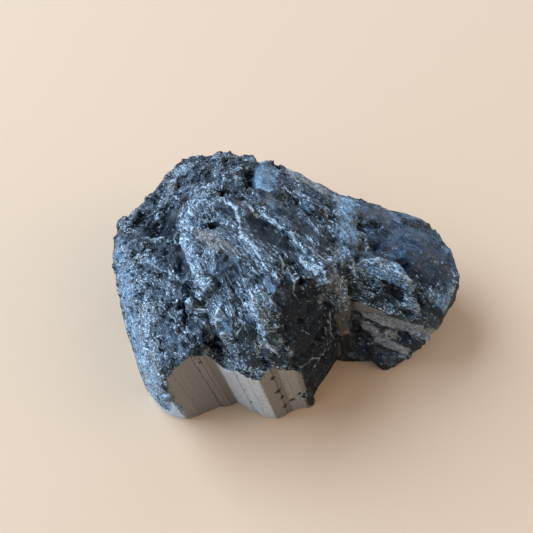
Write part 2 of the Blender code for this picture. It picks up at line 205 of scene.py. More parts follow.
# How the break runs in each part of the top: the middle of the part in the plan, the heading of its
# splinters in degrees, how many times longer than wide they are, how rough, stepped and knobbly it is, and
# the share of it that is crushed to pale powder.
GRAIN = {
    # P, Q, heading, stretch, roughness, terraces, knobs, powder
    "left_shoulder": (-19.0, 2.0, 20.0, 1.15, 1.0, 0.4, 1.0, 0.34),
    "left_front": (-12.5, -12.5, -60.0, 1.4, 1.0, 0.5, 0.7, 0.37),
    "left_flank": (-20.5, -13.0, -80.0, 2.0, 0.7, 0.6, 0.3, 0.64),
    "left_slope": (-11.5, 0.5, -70.0, 2.2, 0.6, 0.8, 0.1, 0.43),
    "crest": (-1.0, -1.0, -48.0, 3.0, 0.7, 1.0, 0.0, 0.36),
    "crest_front": (-1.0, -12.5, -66.0, 3.0, 0.9, 1.0, 0.1, 0.38),
    "crest_right": (7.5, -3.0, -58.0, 3.0, 0.9, 1.0, 0.1, 0.40),
    "dark_break": (5.0, -13.5, -30.0, 2.0, 1.1, 0.6, 0.2, 0.24),
    "right": (20.0, 3.0, -30.0, 1.8, 0.5, 0.5, 0.1, 0.07),
    "right_front": (17.5, -4.6, -25.0, 2.2, 1.0, 0.8, 0.3, 0.38),
    "right_rim": (27.0, -4.0, -60.0, 1.6, 0.7, 0.5, 0.3, 0.46),
    "back": (-8.0, 17.0, 25.0, 1.4, 1.0, 0.4, 0.8, 0.34),
    "back_right": (6.0, 12.0, -45.0, 2.0, 0.8, 0.8, 0.5, 0.28),
}
# How far the borders between those parts wander, and how far their patterns are shifted from one another.
GRAIN_WANDER = 1.6
GRAIN_SHIFT = 7.7

# Glassy places, black and nearly smooth: middle, half length, half width, heading and strength.
GLASSY = [
    (-17.6, 7.4, 3.6, 2.9, -25.0, 0.9), (-12.9, -0.2, 2.6, 1.0, -60.0, 1.0),
    (1.0, 0.6, 4.6, 1.9, -47.0, 0.9), (-14.2, -1.5, 5.5, 1.5, -62.0, 0.7),
    (6.3, 2.9, 2.6, 1.3, -55.0, 0.6), (-8.6, 17.6, 3.4, 2.2, -20.0, 0.5),
    (-12.4, 15.3, 1.5, 1.0, 20.0, 0.7), (12.1, -4.8, 1.8, 0.9, -80.0, 1.0),
    (6.2, -12.3, 5.2, 3.4, 20.0, 0.35), (17.6, 9.2, 3.6, 1.6, -10.0, 0.8),
    (24.4, 2.4, 5.8, 4.4, -40.0, 0.8), (-4.6, -5.6, 2.6, 1.2, -60.0, 0.6),
    (4.0, -11.2, 2.2, 0.9, -75.0, 0.8), (-12.9, 10.8, 2.8, 0.6, -70.0, 0.9),
    (-13.2, -11.6, 1.8, 1.2, -60.0, 0.6), (-11.4, -15.2, 2.2, 0.9, 10.0, 0.7),
    (-0.4, 14.9, 3.8, 1.3, -82.0, 1.0), (24.3, -7.0, 2.2, 1.0, -10.0, 0.8),
    (18.4, -5.6, 2.2, 0.7, -20.0, 0.9), (-2.3, -15.4, 1.8, 1.0, -70.0, 0.8),
    (-8.6, -14.2, 1.6, 1.0, 20.0, 0.6), (-4.9, 5.2, 2.6, 0.7, -52.0, 0.9),
    (18.3, 3.2, 2.6, 1.1, -20.0, 0.7), (0.6, 7.4, 2.4, 0.9, -50.0, 0.6),
    (-3.9, -14.0, 1.4, 0.9, -70.0, 0.7),
]

# Places of the break with painted shade, darker and with a dimmed shine, in hollows where shade falls:
# middle, half length, half width, heading and strength.
SHADED_BREAK_SPOTS = [
    (6.4, -12.4, 5.6, 3.4, 35.0, 0.6), (-8.2, 3.4, 1.7, 0.5, -15.0, 0.9),
    (-17.6, 7.4, 3.4, 2.7, -25.0, 0.75), (12.1, -4.8, 1.6, 0.8, -80.0, 0.5),
    (-12.9, -0.2, 2.2, 0.8, -60.0, 0.5), (1.0, 0.6, 4.4, 1.7, -47.0, 0.75),
    (-14.2, -1.5, 5.0, 1.4, -62.0, 0.5), (-4.6, -5.6, 2.6, 1.2, -60.0, 0.3),
    (-12.9, 10.8, 2.6, 0.5, -70.0, 0.6), (18.4, -5.6, 2.2, 0.6, -20.0, 0.6),
    (24.3, -7.0, 2.0, 0.8, -10.0, 0.4), (9.6, 9.8, 1.0, 2.6, -10.0, 0.4),
    (-2.9, 14.6, 2.4, 0.8, 88.0, 0.8), (-7.0, -15.0, 0.9, 0.5, 40.0, 1.0),
    (-14.2, 2.5, 2.0, 1.1, -70.0, 0.6), (-12.0, 11.6, 1.6, 1.0, 60.0, 0.4),
    (-20.5, 11.0, 1.8, 1.2, 20.0, 0.6), (-10.0, -13.2, 1.5, 0.9, -60.0, 0.5),
    (-9.7, 15.5, 1.8, 1.1, 20.0, 0.55), (-12.8, -14.4, 1.5, 0.9, -60.0, 0.4),
    (6.1, 2.9, 2.6, 1.2, -55.0, 0.6), (-5.5, 4.6, 1.9, 0.8, -55.0, 0.4), (-2.9, 0.2, 1.5, 0.8, -60.0, 0.4),
]

# Pale places, partly crushed powder and partly painted light on slopes that face the window: the strength
# and half width, then the places that each runs through.
CRUSHED_AND_LIT = [
    (0.95, 1.4, [(-9.7, 10.1), (-11.4, 7.5), (-12.0, 4.6), (-11.9, 1.7), (-11.0, -1.5), (-9.6, -4.8),
                 (-9.0, -7.8)]),
    (0.60, 0.8, [(-11.4, 9.5), (-11.2, 13.0), (-8.4, 12.1), (-6.3, 8.1)]),
    (0.60, 1.0, [(-2.9, -0.9), (-1.6, -2.2), (-0.7, -3.8), (0.3, -5.6), (1.5, -8.0)]),
    (0.95, 0.8, [(-2.1, -9.0), (-1.1, -11.6), (-0.5, -13.4), (-0.2, -14.9), (0.6, -16.2)]),
    (0.55, 1.1, [(1.0, -12.2), (1.2, -13.4), (1.7, -14.6)]),
    (0.80, 0.7, [(-6.7, -9.3), (-6.1, -12.4), (-6.1, -14.4), (-4.6, -16.3), (-3.3, -18.1)]),
    (0.85, 0.6, [(5.7, -3.2), (6.3, -5.3), (7.4, -6.9), (8.2, -8.1), (8.7, -8.8)]),
    (0.60, 0.5, [(0.1, 4.3), (2.1, 2.6), (3.9, 0.8), (5.6, -2.0)]),
    (0.45, 1.8, [(12.4, 11.0), (12.3, 6.6)]),
    (0.45, 1.8, [(11.4, 3.8), (14.0, 3.0)]),
    (0.70, 0.7, [(12.5, -0.4), (12.3, -3.0)]),
    (0.55, 0.8, [(10.9, 0.5), (10.8, -2.9)]),
    (1.00, 0.6, [(9.3, 8.4), (9.5, 7.0)]),
    (0.60, 0.8, [(3.9, 14.4), (6.0, 11.5)]),
    (0.20, 1.3, [(-1.2, 18.2), (-0.2, 12.0)]),
    (1.00, 0.6, [(-4.4, 15.0), (-3.8, 13.9)]),
    (0.60, 0.7, [(12.3, -4.2), (14.7, -1.7), (16.8, -0.9)]),
    (0.60, 1.4, [(14.6, -2.7), (16.8, -2.6), (19.1, -3.2), (20.6, -4.1)]),
    (0.80, 2.4, [(-24.4, 3.5), (-22.8, -0.5), (-21.4, -4.0), (-21.0, -6.5), (-20.4, -9.3)]),
    (0.95, 1.9, [(-20.4, -9.3), (-21.5, -12.0), (-18.6, -18.0)]),
    (0.90, 0.7, [(28.9, 0.5), (28.0, -2.0), (27.0, -4.0)]),
    (0.80, 1.2, [(20.0, -6.2), (21.0, -6.5)]),
    (0.90, 1.4, [(24.8, -4.4), (27.0, -5.2)]),
    (1.00, 0.6, [(-14.6, -16.2), (-16.4, -16.6), (-16.6, -18.2), (-17.4, -19.4)]),
    (0.95, 0.5, [(-7.0, -16.6), (-6.4, -17.6), (-4.1, -18.6), (-2.7, -18.9), (-1.7, -19.6)]),
    (0.80, 1.4, [(-16.2, 19.6), (-13.8, 20.0)]),
    (0.60, 0.8, [(-19.0, 13.6), (-15.4, 12.4)]),
    (1.00, 0.7, [(-18.6, 9.9), (-17.8, 9.2)]),
    (0.95, 1.0, [(-7.9, -8.0), (-7.5, -9.3), (-7.6, -11.5), (-6.9, -14.0), (-6.5, -16.2)]),
    (0.95, 1.0, [(-0.6, -9.8), (0.4, -11.8), (1.4, -13.2), (1.3, -14.6), (1.1, -16.2)]),
    (0.80, 1.2, [(-19.6, -3.0), (-19.0, -6.5)]),
    (0.70, 1.1, [(2.4, 12.4), (4.4, 10.2)]),
    (0.60, 0.9, [(7.2, -7.8), (8.6, -9.4)]),
]

# Smooth, evenly pale places, partly frosted and partly painted sheen where smooth facets mirror the window
# and sky: middle, half length, half width, heading and strength.
FROST_AND_SHEEN_SPOTS = [
    (-0.5, 14.4, 4.6, 1.9, -80.0, 1.0), (-0.5, 18.4, 2.9, 1.6, -10.0, 0.9),
    (12.6, 10.6, 1.9, 1.6, 0.0, 0.8), (12.9, 3.4, 1.8, 1.0, 10.0, 0.8), (12.3, 7.0, 1.6, 1.2, 60.0, 0.6),
    (-10.3, 8.4, 1.6, 1.1, -50.0, 0.7), (-21.6, -13.4, 4.6, 1.9, -60.0, 0.9),
    (18.6, -2.2, 2.2, 0.8, -30.0, 0.6), (25.5, -4.9, 2.6, 1.6, -30.0, 1.0),
    (20.6, -6.4, 1.2, 0.7, -10.0, 0.8), (9.3, 7.7, 0.6, 0.8, 0.0, 0.8), (24.0, 3.0, 5.6, 4.6, -40.0, 0.2),
    (17.6, 9.0, 3.6, 1.8, -10.0, 0.2), (-11.7, 2.6, 2.6, 0.8, -85.0, 0.5),
    (-15.0, 20.0, 1.6, 1.0, 20.0, 0.6), (6.3, 2.9, 2.2, 1.0, -55.0, 0.25),
    (11.2, -0.6, 2.4, 0.9, -85.0, 0.5), (-24.6, 0.6, 3.4, 1.0, -80.0, 0.4),
    (-0.5, -14.0, 2.3, 0.7, -72.0, 0.7), (-5.2, -14.8, 2.0, 0.7, -50.0, 0.6),
    (1.3, -9.4, 2.6, 0.7, -60.0, 0.5), (-3.2, -5.2, 2.6, 0.7, -58.0, 0.4),
    (-6.2, -7.4, 2.0, 0.8, -65.0, 0.4), (-14.0, -13.6, 1.6, 0.7, -60.0, 0.5),
    (-17.4, -1.0, 2.0, 0.9, -30.0, 0.4),
]

# Pale ridges, partly frosted and partly painted light on slopes that face the window: strength, half width,
# and the places that each runs through.
FROST_AND_SHEEN_RIDGES = [
    (0.8, 1.0, [(-10.6, 9.6), (-11.4, 7.5), (-12.0, 4.6), (-11.9, 1.7), (-11.0, -1.5), (-9.8, -4.4)]),
    (0.9, 1.7, [(-24.6, 3.5), (-23.4, -0.5), (-22.6, -4.0)]),
    (0.8, 1.2, [(14.6, -2.9), (16.8, -2.9), (19.0, -3.5), (20.6, -4.2)]),
    (0.6, 1.0, [(29.2, 1.9), (28.2, -1.1), (27.4, -3.4)]),
    (0.9, 2.0, [(12.9, 11.0), (12.8, 6.0), (12.6, 1.6)]),
    (1.0, 2.1, [(-23.2, -4.4), (-22.4, -7.0), (-21.8, -10.0), (-21.2, -12.6), (-19.6, -16.6),
                (-18.0, -18.8)]),
    (0.5, 0.6, [(-1.1, -11.6), (-0.5, -13.4), (-0.2, -14.9), (0.6, -16.2)]),
    (0.6, 0.8, [(20.0, 1.2), (20.0, 4.6), (21.9, 7.3), (25.2, 6.6), (27.6, 6.3)]),
    (0.5, 0.7, [(17.6, 11.0), (20.8, 10.9), (24.0, 10.2)]),
    (0.7, 0.6, [(20.0, 10.2), (20.4, 8.5)]),
    (0.5, 0.7, [(27.8, 6.0), (29.0, 3.2), (29.3, 1.0)]),
]

# Smooth places with a painted blue sheen, a blue colour and a bluer shine standing in for the sky mirrored
# in them: middle, half length, half width, heading and strength.
BLUE_SHEEN_SPOTS = [
    (22.6, 2.2, 8.6, 5.8, -32.0, 0.9), (6.2, -12.3, 5.0, 3.4, 20.0, 0.5),
    (-0.7, 15.2, 3.8, 1.5, -80.0, 0.4), (17.6, 9.2, 4.4, 2.0, -10.0, 0.6),
    (-21.6, -13.4, 4.6, 1.9, -60.0, 0.2), (25.0, -5.4, 2.8, 1.6, -30.0, 0.6),
]

# Brown, weathered places: strength, half width, and the places that each runs through.
WEATHERED = [
    (1.0, 1.3, [(-9.2, 1.4), (-6.2, -1.8)]), (0.8, 0.9, [(-5.4, -2.2), (-3.4, -3.8)]),
    (0.6, 1.3, [(15.4, 9.4), (19.8, 9.0)]),
    (1.0, 1.2, [(3.2, 19.0), (5.5, 16.8), (8.3, 14.7), (10.4, 12.2)]),
    (1.0, 0.7, [(-16.9, 16.4), (-16.3, 16.0)]), (0.5, 0.9, [(-3.4, 7.2), (2.0, 8.0)]),
    (0.5, 1.4, [(9.4, -8.4), (11.2, -6.4)]), (0.4, 1.4, [(0.4, 1.2), (2.6, -1.2)]),
    (0.5, 0.8, [(6.0, 3.6), (7.4, 1.6)]),
]

# Cracks and deep gaps between splinters: width and depth, then the places that each runs through.
CRACKS = [
    (1.0, 0.8, [(-9.6, -6.6), (-11.4, -7.4), (-11.0, -8.6), (-11.6, -9.7), (-12.6, -9.6)]),
    (0.8, 0.7, [(-11.6, -9.7), (-11.2, -12.6)]),
    (0.5, 0.4, [(-14.7, 3.4), (-12.9, 0.6), (-11.8, -1.5), (-11.1, -3.3)]),
    (0.5, 0.4, [(-12.9, 12.0), (-12.2, 7.6)]),
    (0.9, 0.4, [(-2.9, 17.0), (-2.7, 14.0), (-2.9, 12.0)]),
    (0.6, 0.4, [(1.1, 13.4), (2.4, 12.0), (3.9, 11.2), (5.0, 9.8), (6.4, 7.5), (8.2, 5.0)]),
    (0.5, 0.3, [(15.4, -3.9), (17.8, -4.7), (19.9, -5.7)]),
    (0.5, 0.3, [(15.0, 1.4), (17.3, 2.3)]),
    (0.7, 0.5, [(12.2, -4.5), (12.0, -6.9)]),
    (0.4, 0.3, [(1.0, 11.0), (3.4, 7.4), (5.4, 5.2)]),
    (0.4, 0.3, [(-5.8, 9.4), (-4.6, 7.4), (-4.4, 5.2)]),
    (0.5, 0.4, [(-9.8, 4.0), (-8.0, 3.3), (-5.6, 1.7)]),
    (0.5, 0.3, [(14.0, 6.2), (17.9, 6.6)]),
    (0.5, 0.4, [(7.9, 1.6), (8.6, -0.6), (9.9, -2.4)]),
]

# Rounded ridges: height and half width, then the places that each runs through.
RIDGES = [
    (0.6, 1.2, [(-9.9, 9.6), (-11.2, 7.0), (-11.6, 4.4), (-11.4, 1.7), (-10.4, -1.5), (-9.2, -4.8),
                (-8.8, -7.4)]),
    (0.4, 0.8, [(-11.0, 9.5), (-10.8, 12.6), (-8.4, 11.6), (-6.3, 8.1)]),
    (0.3, 0.9, [(-2.7, -0.9), (-1.4, -2.2), (-0.5, -3.8), (0.5, -5.6), (1.7, -8.0)]),
    (0.5, 0.8, [(-1.9, -9.4), (-0.9, -11.6), (-0.2, -13.4), (0.1, -14.8), (0.9, -16.6)]),
    (0.4, 0.7, [(-5.9, -12.4), (-6.0, -14.0), (-4.4, -16.6), (-3.1, -18.2)]),
    (0.4, 0.8, [(16.0, -1.4), (19.1, -2.5), (20.8, -4.0)]),
    (0.4, 0.6, [(12.4, -0.4), (12.3, -3.0)]),
]

# Ledges: the height of the step, then the places along its edge. The ground to the right of the way the
# points run stands higher, and falls away to nothing over LEDGE_REACH.
LEDGES = [
    (0.45, [(-2.6, -0.2), (-2.7, 1.4), (-3.2, 3.3), (-4.0, 5.1), (-5.1, 6.3), (-6.7, 8.6)]),
    (0.30, [(-0.8, 4.4), (-1.7, 5.8), (-3.0, 7.8)]),
    (0.40, [(6.0, -2.7), (5.1, -1.4), (4.2, -0.1), (2.5, 2.1), (0.1, 4.3)]),
    (0.50, [(8.6, -8.1), (8.1, -7.5), (7.5, -6.9), (6.6, -5.7), (6.0, -4.6)]),
    (0.50, [(6.3, -10.1), (6.5, -9.8), (6.1, -9.6), (5.9, -9.0)]),
    (0.50, [(1.0, -17.5), (0.1, -15.8), (-0.3, -14.1), (-0.9, -12.6), (-2.0, -9.4)]),
    (0.40, [(-3.7, -17.3), (-5.3, -15.6), (-6.2, -14.0), (-6.1, -12.4)]),
    (0.60, [(-9.8, -6.2), (-10.8, -3.5), (-12.6, 0.4), (-12.6, 3.0), (-13.6, 5.3), (-13.6, 8.0)]),
    (0.50, [(15.4, -3.4), (15.9, -1.2), (18.2, -1.5), (20.0, -2.7), (21.9, -4.0)]),
    (0.50, [(10.8, 1.6), (10.0, 4.4), (10.4, 8.6), (11.0, 12.6)]),
    (0.45, [(14.4, 1.2), (12.2, 0.6), (10.8, 1.4)]),
]
LEDGE_REACH = 2.0

# Stands for a distance that is too large to matter.
FAR = 9.0

# Pits and single knobs: the place, the radius and the height, which is below nought for a pit.
PITS_AND_KNOBS = [
    (-20.2, -1.5, 0.70, -0.5), (-17.7, -5.2, 0.50, -0.4), (-21.1, -6.9, 0.50, -0.3),
    (-24.8, 1.9, 0.45, -0.4), (20.9, -2.6, 0.35, -0.4), (15.6, 6.9, 0.40, 0.5), (-18.3, 9.6, 0.65, 0.7),
    (-4.1, 14.4, 0.60, 0.6), (9.4, 7.7, 0.55, 0.6), (14.9, 8.7, 0.45, 0.4), (21.0, -7.5, 0.70, 0.4),
    (24.3, -6.6, 1.20, 0.5),
]
# Knobs with a smaller radius than this lose their painted shade and their glassiness.
SMALL_KNOB = 1.0

# Fine pale lines along edges, partly bruises and partly painted highlights where the edges catch the light:
# the strength, then the places that each runs through.
BRUISES_AND_HIGHLIGHTS = [
    (0.8, [(-6.7, 8.6), (-5.1, 6.3), (-4.0, 5.1), (-3.2, 3.3), (-2.7, 1.4), (-2.6, -0.4)]),
    (0.9, [(-3.0, 7.8), (-2.3, 6.5), (-1.7, 5.8), (-0.8, 4.4)]),
    (0.7, [(0.1, 4.3), (1.3, 3.0), (2.5, 2.1), (3.4, 0.9), (4.2, -0.1), (5.1, -1.4), (6.0, -2.7)]),
    (1.0, [(6.0, -4.6), (6.6, -5.7), (7.5, -6.9), (8.1, -7.5), (8.6, -8.2)]),
    (0.9, [(6.9, -4.9), (7.7, -5.9), (8.4, -6.8), (8.9, -7.6)]),
    (0.8, [(7.7, -2.7), (8.1, -3.2), (9.0, -3.6)]),
    (0.7, [(-2.4, -1.0), (-1.6, -2.2), (-0.9, -3.2), (-0.5, -4.4), (0.3, -5.6), (1.2, -7.2), (2.0, -8.6)]),
    (1.0, [(-2.0, -9.4), (-1.1, -11.6), (-0.9, -12.6), (-0.3, -13.4), (-0.4, -14.8), (0.1, -15.8),
           (0.9, -17.0)]),
    (0.9, [(-6.1, -12.4), (-5.7, -13.4), (-6.2, -14.0), (-6.1, -14.6), (-5.3, -15.6), (-3.7, -17.3)]),
    (1.0, [(5.7, -8.8), (6.1, -9.6), (6.5, -9.9), (6.3, -10.4)]),
    (0.7, [(4.8, -9.9), (5.3, -10.6)]),
    (0.9, [(-9.8, -4.9), (-10.9, -3.3), (-12.4, 0.4), (-12.5, 3.0), (-13.4, 5.3)]),
    (0.7, [(-8.9, 4.8), (-7.4, 3.9), (-5.4, 2.6)]),
    (0.7, [(2.7, -4.8), (3.4, -6.2), (3.7, -7.8), (4.6, -9.2)]),
    (0.7, [(-4.3, -11.7), (-3.4, -13.1), (-2.6, -14.0), (-3.3, -15.3)]),
    (0.5, [(-5.5, -13.3), (-4.7, -14.4), (-3.9, -15.3)]),
    (0.6, [(0.5, -10.4), (1.4, -11.8), (2.3, -12.4)]),
    (0.6, [(-6.5, -9.9), (-5.9, -11.4), (-5.5, -12.9)]),
    (0.7, [(11.9, -0.1), (12.8, -2.2), (12.9, -3.7)]),
    (0.8, [(13.7, -1.9), (15.9, -0.9), (17.6, -2.4), (19.6, -3.4), (21.5, -4.0)]),
    (0.7, [(15.3, 1.6), (15.1, 4.2), (13.6, 6.0)]),
    (0.7, [(11.0, 11.5), (12.6, 12.2), (14.7, 11.1)]),
    (0.5, [(15.6, -3.4), (17.3, -4.6), (19.5, -5.0)]),
    (0.5, [(-18.2, -0.5), (-15.3, -2.9), (-12.6, -5.8)]),
    (0.6, [(-14.9, 5.2), (-14.2, 3.0), (-16.2, 3.9), (-19.6, 4.6)]),
    (0.5, [(-17.9, -6.7), (-14.9, -9.5), (-12.9, -12.0)]),
    (0.6, [(-8.8, -12.9), (-7.6, -14.0), (-7.0, -14.6)]),
]

# The steep front of the right end: its foot in the plan, how far from that it reaches, and how high.
WING_FRONT = [(12.8, -8.0), (15.4, -8.8), (18.4, -9.6), (20.8, -9.8), (24.0, -9.6)]
WING_DEPTH = 2.2
WING_TOP = 12.5
# How many times its points, and those of the hollows below, are moved to the middle of those beside them.
WING_SMOOTHING = 7

# Hollows that are worn shallow: the place and the radius.
CALMED = [(-6.6, 10.3, 1.6), (5.6, -7.8, 1.6), (3.5, 10.9, 1.4), (-7.6, 3.2, 1.5)]

# Ledges across that front: the height of the step, then P and Z along its edge, from left to right. The
# ground above the edge stands out.
WING_LEDGES = [
    (0.30, [(13.5, 11.3), (15.3, 10.8), (17.4, 10.0)]),
    (0.35, [(14.4, 9.2), (16.2, 7.9), (17.4, 7.7)]),
    (0.35, [(15.8, 6.3), (17.3, 6.0), (18.8, 4.6), (19.6, 2.8)]),
    (0.25, [(16.2, 4.9), (18.0, 3.4), (19.2, 2.4)]),
    (0.30, [(19.3, 10.4), (21.3, 9.9), (23.1, 10.2)]),
    (0.25, [(19.6, 8.6), (20.8, 8.4), (22.1, 7.7), (23.0, 7.9)]),
    (0.30, [(18.7, 12.6), (21.8, 12.0), (23.8, 11.0)]),
]

# The planes between those ledges, brown as a painted reflection of the warm table that they face: the half
# width, how frosted they are, and P and Z along each.
WING_REFLECTING_PLANES = [
    (1.6, 0.30, [(11.0, 14.0), (13.0, 12.8), (16.4, 11.6), (19.0, 10.9), (21.3, 9.8), (23.4, 9.0)]),
    (1.4, 0.20, [(13.2, 9.2), (14.4, 8.6), (16.0, 8.0), (18.2, 8.2)]),
    (1.2, 0.45, [(15.8, 6.2), (17.5, 5.6), (19.4, 4.6)]),
]

# Crushed chips between them: P, Z and the radius.
WING_CHIPS = [
    (20.6, 12.2, 0.6), (21.9, 12.8, 0.6), (20.1, 9.8, 0.5), (17.1, 8.2, 0.6), (22.1, 7.7, 0.6),
    (17.7, 3.2, 0.5), (19.1, 2.8, 0.5), (23.2, 10.2, 0.5), (21.4, 8.6, 0.5), (22.6, 8.9, 0.4),
    (14.4, 9.9, 0.4), (18.6, 7.6, 0.6), (16.4, 7.5, 0.5), (15.8, 12.9, 0.5),
]

# Painted sheen and painted shade on the upright sides in front: the strength, P where each starts and ends,
# and Z where it starts and ends. The sheen stands in for the bright window and table mirrored in the sides.
PAINTED_SHEENS = [
    (1.0, -22.0, -15.5, -1.0, 30.0), (0.95, -7.6, -1.5, -1.0, 30.0), (0.25, 1.0, 3.3, -1.0, 30.0),
]
# Painted shade on the sides: beside the notch where the faces turn from the light, in the notch, darker
# toward its bottom, and on the front of the right end, most of all low down.
PAINTED_SIDE_SHADES = [
    (0.95, 1.9, 9.2, -1.0, 30.0), (0.6, 9.2, 12.6, 9.0, 30.0), (0.92, 9.2, 12.6, -1.0, 9.0),
    (0.5, 11.2, 12.6, 7.0, 30.0), (0.9, 12.6, 40.0, -1.0, 10.5), (0.8, 17.0, 40.0, 8.0, 30.0),
]

# The painted sheen and the dark chips lie in front of the first of these values of Q, the grooves' painted
# shade in front of the second, and battered places and the pale edges beside the notch in front of the
# third.
SHEEN_AND_CHIPS_FRONT = -15.8
GROOVED_FRONT = -6.0
BATTERED_FRONT = -5.0

# Painted shade on the sides lies between the first two values of Q, and between the second two the painted
# table reflection fades and the sides turn to the stone's own dark. Sides to the left of FLANK, a value of
# P, get the painted blue sheen.
SIDE_SHADE_BAND = (-16.9, 0.0)
BACK_DARK_SIDES = (-6.0, -2.0)
FLANK = -15.2

# Battered places of the front sides: the half width, how crushed they are, then P and Z along each.
BATTERED = [
    (0.45, 1.0, [(-16.3, 12.8), (-15.5, 11.8), (-15.4, 8.6), (-15.3, 5.4), (-15.4, 2.6)]),
    (1.7, 1.0, [(10.4, 17.6), (11.0, 15.8)]),
    (2.5, 0.0, [(6.8, 2.5), (7.1, 6.0), (7.4, 17.0)]),
]

# Pale edges in the broken side of the notch, partly bruises and partly painted highlights: P and Z along
# each.
NOTCH_EDGES = [
    [(7.7, 11.5), (7.3, 9.7), (7.6, 6.7), (6.5, 6.1), (5.3, 6.1), (4.4, 5.6)],
    [(3.7, 10.2), (4.8, 9.0), (6.4, 6.3)],
    [(8.8, 15.0), (8.5, 11.5), (8.4, 8.0)],
]

# Chips out of the front sides, darkened with the painted side shade, which is partly the stone's own black
# and partly painted shade: P, Z, half width and half height.
SIDE_CHIPS = [
    (-9.3, 16.1, 0.25, 0.35), (0.1, 13.6, 0.30, 0.60), (0.2, 9.2, 0.45, 0.50), (0.3, 6.6, 0.30, 0.55),
    (0.2, 3.3, 0.35, 0.60), (1.5, 4.2, 0.45, 0.50), (2.8, 5.3, 0.35, 0.45), (4.3, 2.5, 1.00, 2.20),
]

# Grooves down the front sides, and faint ones, drawn as dark lines of painted shade: P of each, and its
# strength.
GROOVES = [(-13.3, 0.25), (-12.1, 0.2), (-10.2, 1.0), (-9.2, 0.8), (-8.0, 0.5), (-5.0, 0.5), (-3.2, 0.3),
           (0.3, 0.9), (0.9, 0.5), (1.9, 0.3), (9.3, 0.5), (10.2, 0.7)]

# A faint line across them: its strength, then P and Z along it.
CROSS_LINE = (0.45, [(-15.4, 6.2), (-13.0, 6.0), (-11.3, 5.5), (-9.4, 5.9), (-8.0, 6.3)])


def lattice_random(cells, seed):
    """A number from 0 to 1 for each whole-numbered cell: its place times large primes, well mixed."""
    x, y, z = cells.astype(np.int64).T
    mixed = (x * 73856093) ^ (y * 19349663) ^ (z * 83492791) ^ (seed * 49979687)
    for _ in range(2):
        mixed = ((mixed ^ (mixed >> 15)) * 73244475) & 0xFFFFFFFF
    return (mixed ^ (mixed >> 16)) / 0xFFFFFFFF


def waves(points, size, seed):
    """Smooth noise from -1 to 1: random values at the corners of cells of a size, blended across them."""
    place = points / size
    cells = np.floor(place)
    share = place - cells
    share = share * share * (3.0 - 2.0 * share)
    total = np.zeros(len(points))
    for corner in itertools.product((0.0, 1.0), repeat=3):
        weight = np.prod(np.where(corner, share, 1.0 - share), axis=1)
        total += weight * lattice_random(cells + corner, seed)
    return 2.0 * total - 1.0


def nearest_middles(points, size, seed):
    """For each point, the way to the nearest of the scattered middles, how near it is, and its cell."""
    cells = np.floor(points / size)
    nearest = np.full(len(points), np.inf)
    way = np.zeros(points.shape)
    home = np.zeros(points.shape)
    for shift in itertools.product((-1.0, 0.0, 1.0), repeat=3):
        near = cells + shift
        stray = np.column_stack([lattice_random(near, seed + i) for i in range(3)])
        gap = points - (near + 0.5 + 0.4 * (2.0 * stray - 1.0)) * size
        away = (gap ** 2).sum(axis=1)
        closer = away < nearest
        way[closer] = gap[closer]
        home[closer] = near[closer]
        nearest[closer] = away[closer]
    return way, np.sqrt(nearest), home


def facets(points, size, slope, step, seed):
    """The height of flat chips: each point lies on the tilted plane of its nearest scattered middle.

    Also gives two numbers from -1 to 1 that are each chip's own.
    """
    way, _, home = nearest_middles(points, size, seed)
    own = 2.0 * np.column_stack([lattice_random(home, seed + i) for i in range(3, 9)]) - 1.0
    return slope * (way * own[:, :3]).sum(axis=1) + step * own[:, 3], own[:, 4:]


def knobs(points, size, seed):
    """Round lumps with narrow gaps between them: high at each scattered middle, low where two meet."""
    _, away, _ = nearest_middles(points, size, seed)
    return 0.7 - (away / size) ** 2 * 2.0


def terraces(points, size, step, seed):
    """Low steps: a smooth noise with its slopes gathered into narrow risers; and where the risers are."""
    level = 3.0 * waves(points, size, seed) + waves(points, 0.4 * size, seed + 1)
    tread = np.floor(level)
    rise = smoothstep(level - tread, 0.78, 1.0)
    return step * (tread + rise - level), 4.0 * rise * (1.0 - rise)


def nearest_part(places, middles):
    """The number of the nearest middle for each place in the plan, with wandering borders."""
    wander = np.column_stack([waves(places, 3.0, 5), waves(places, 3.0, 6)])
    wander += 0.5 * np.column_stack([waves(places, 1.1, 7), waves(places, 1.1, 8)])
    moved = places[:, :2] + GRAIN_WANDER * wander
    gaps = moved[:, None, :] - middles[None, :, :]
    return (gaps ** 2).sum(axis=2).argmin(axis=1)


def from_path(spots, path):
    """For each spot of the plan, its distance from a path, and on which side: above nought is right."""
    nearest = np.full(len(spots), np.inf)
    right = np.zeros(len(spots))
    for start, end in zip(path[:-1], path[1:]):
        start, run = np.array(start), np.array(end) - np.array(start)
        gap = spots - start
        share = np.clip(gap @ run / (run @ run), 0.0, 1.0)
        away = np.linalg.norm(gap - share[:, None] * run, axis=1)
        side_now = (gap[:, 0] * run[1] - gap[:, 1] * run[0]) / np.linalg.norm(run)
        right = np.where(away < nearest, side_now, right)
        nearest = np.minimum(away, nearest)
    return nearest, right


def near_path(spots, path, width):
    """1 on a path of the plan and 0 further from it than its half width."""
    return 1.0 - smoothstep(from_path(spots, path)[0] / width, 0.72, 1.0)


def in_spot(spots, p, q, long, wide, heading):
    """1 inside an ellipse of the plan and 0 outside it."""
    turn = math.radians(heading)
    gap = spots - (p, q)
    along = gap @ (math.cos(turn), math.sin(turn))
    across = gap @ (-math.sin(turn), math.cos(turn))
    return 1.0 - smoothstep(np.hypot(along / long, across / wide), 0.86, 1.04)


def in_spots(spots, table):
    """How strong the strongest of a table's ellipses is at each spot."""
    return np.max([share * in_spot(spots, *ellipse) for *ellipse, share in table], axis=0)


def near_paths(spots, table):
    """How strong the strongest of a table's paths is at each spot."""
    return np.max([share * near_path(spots, path, width) for share, width, path in table], axis=0)


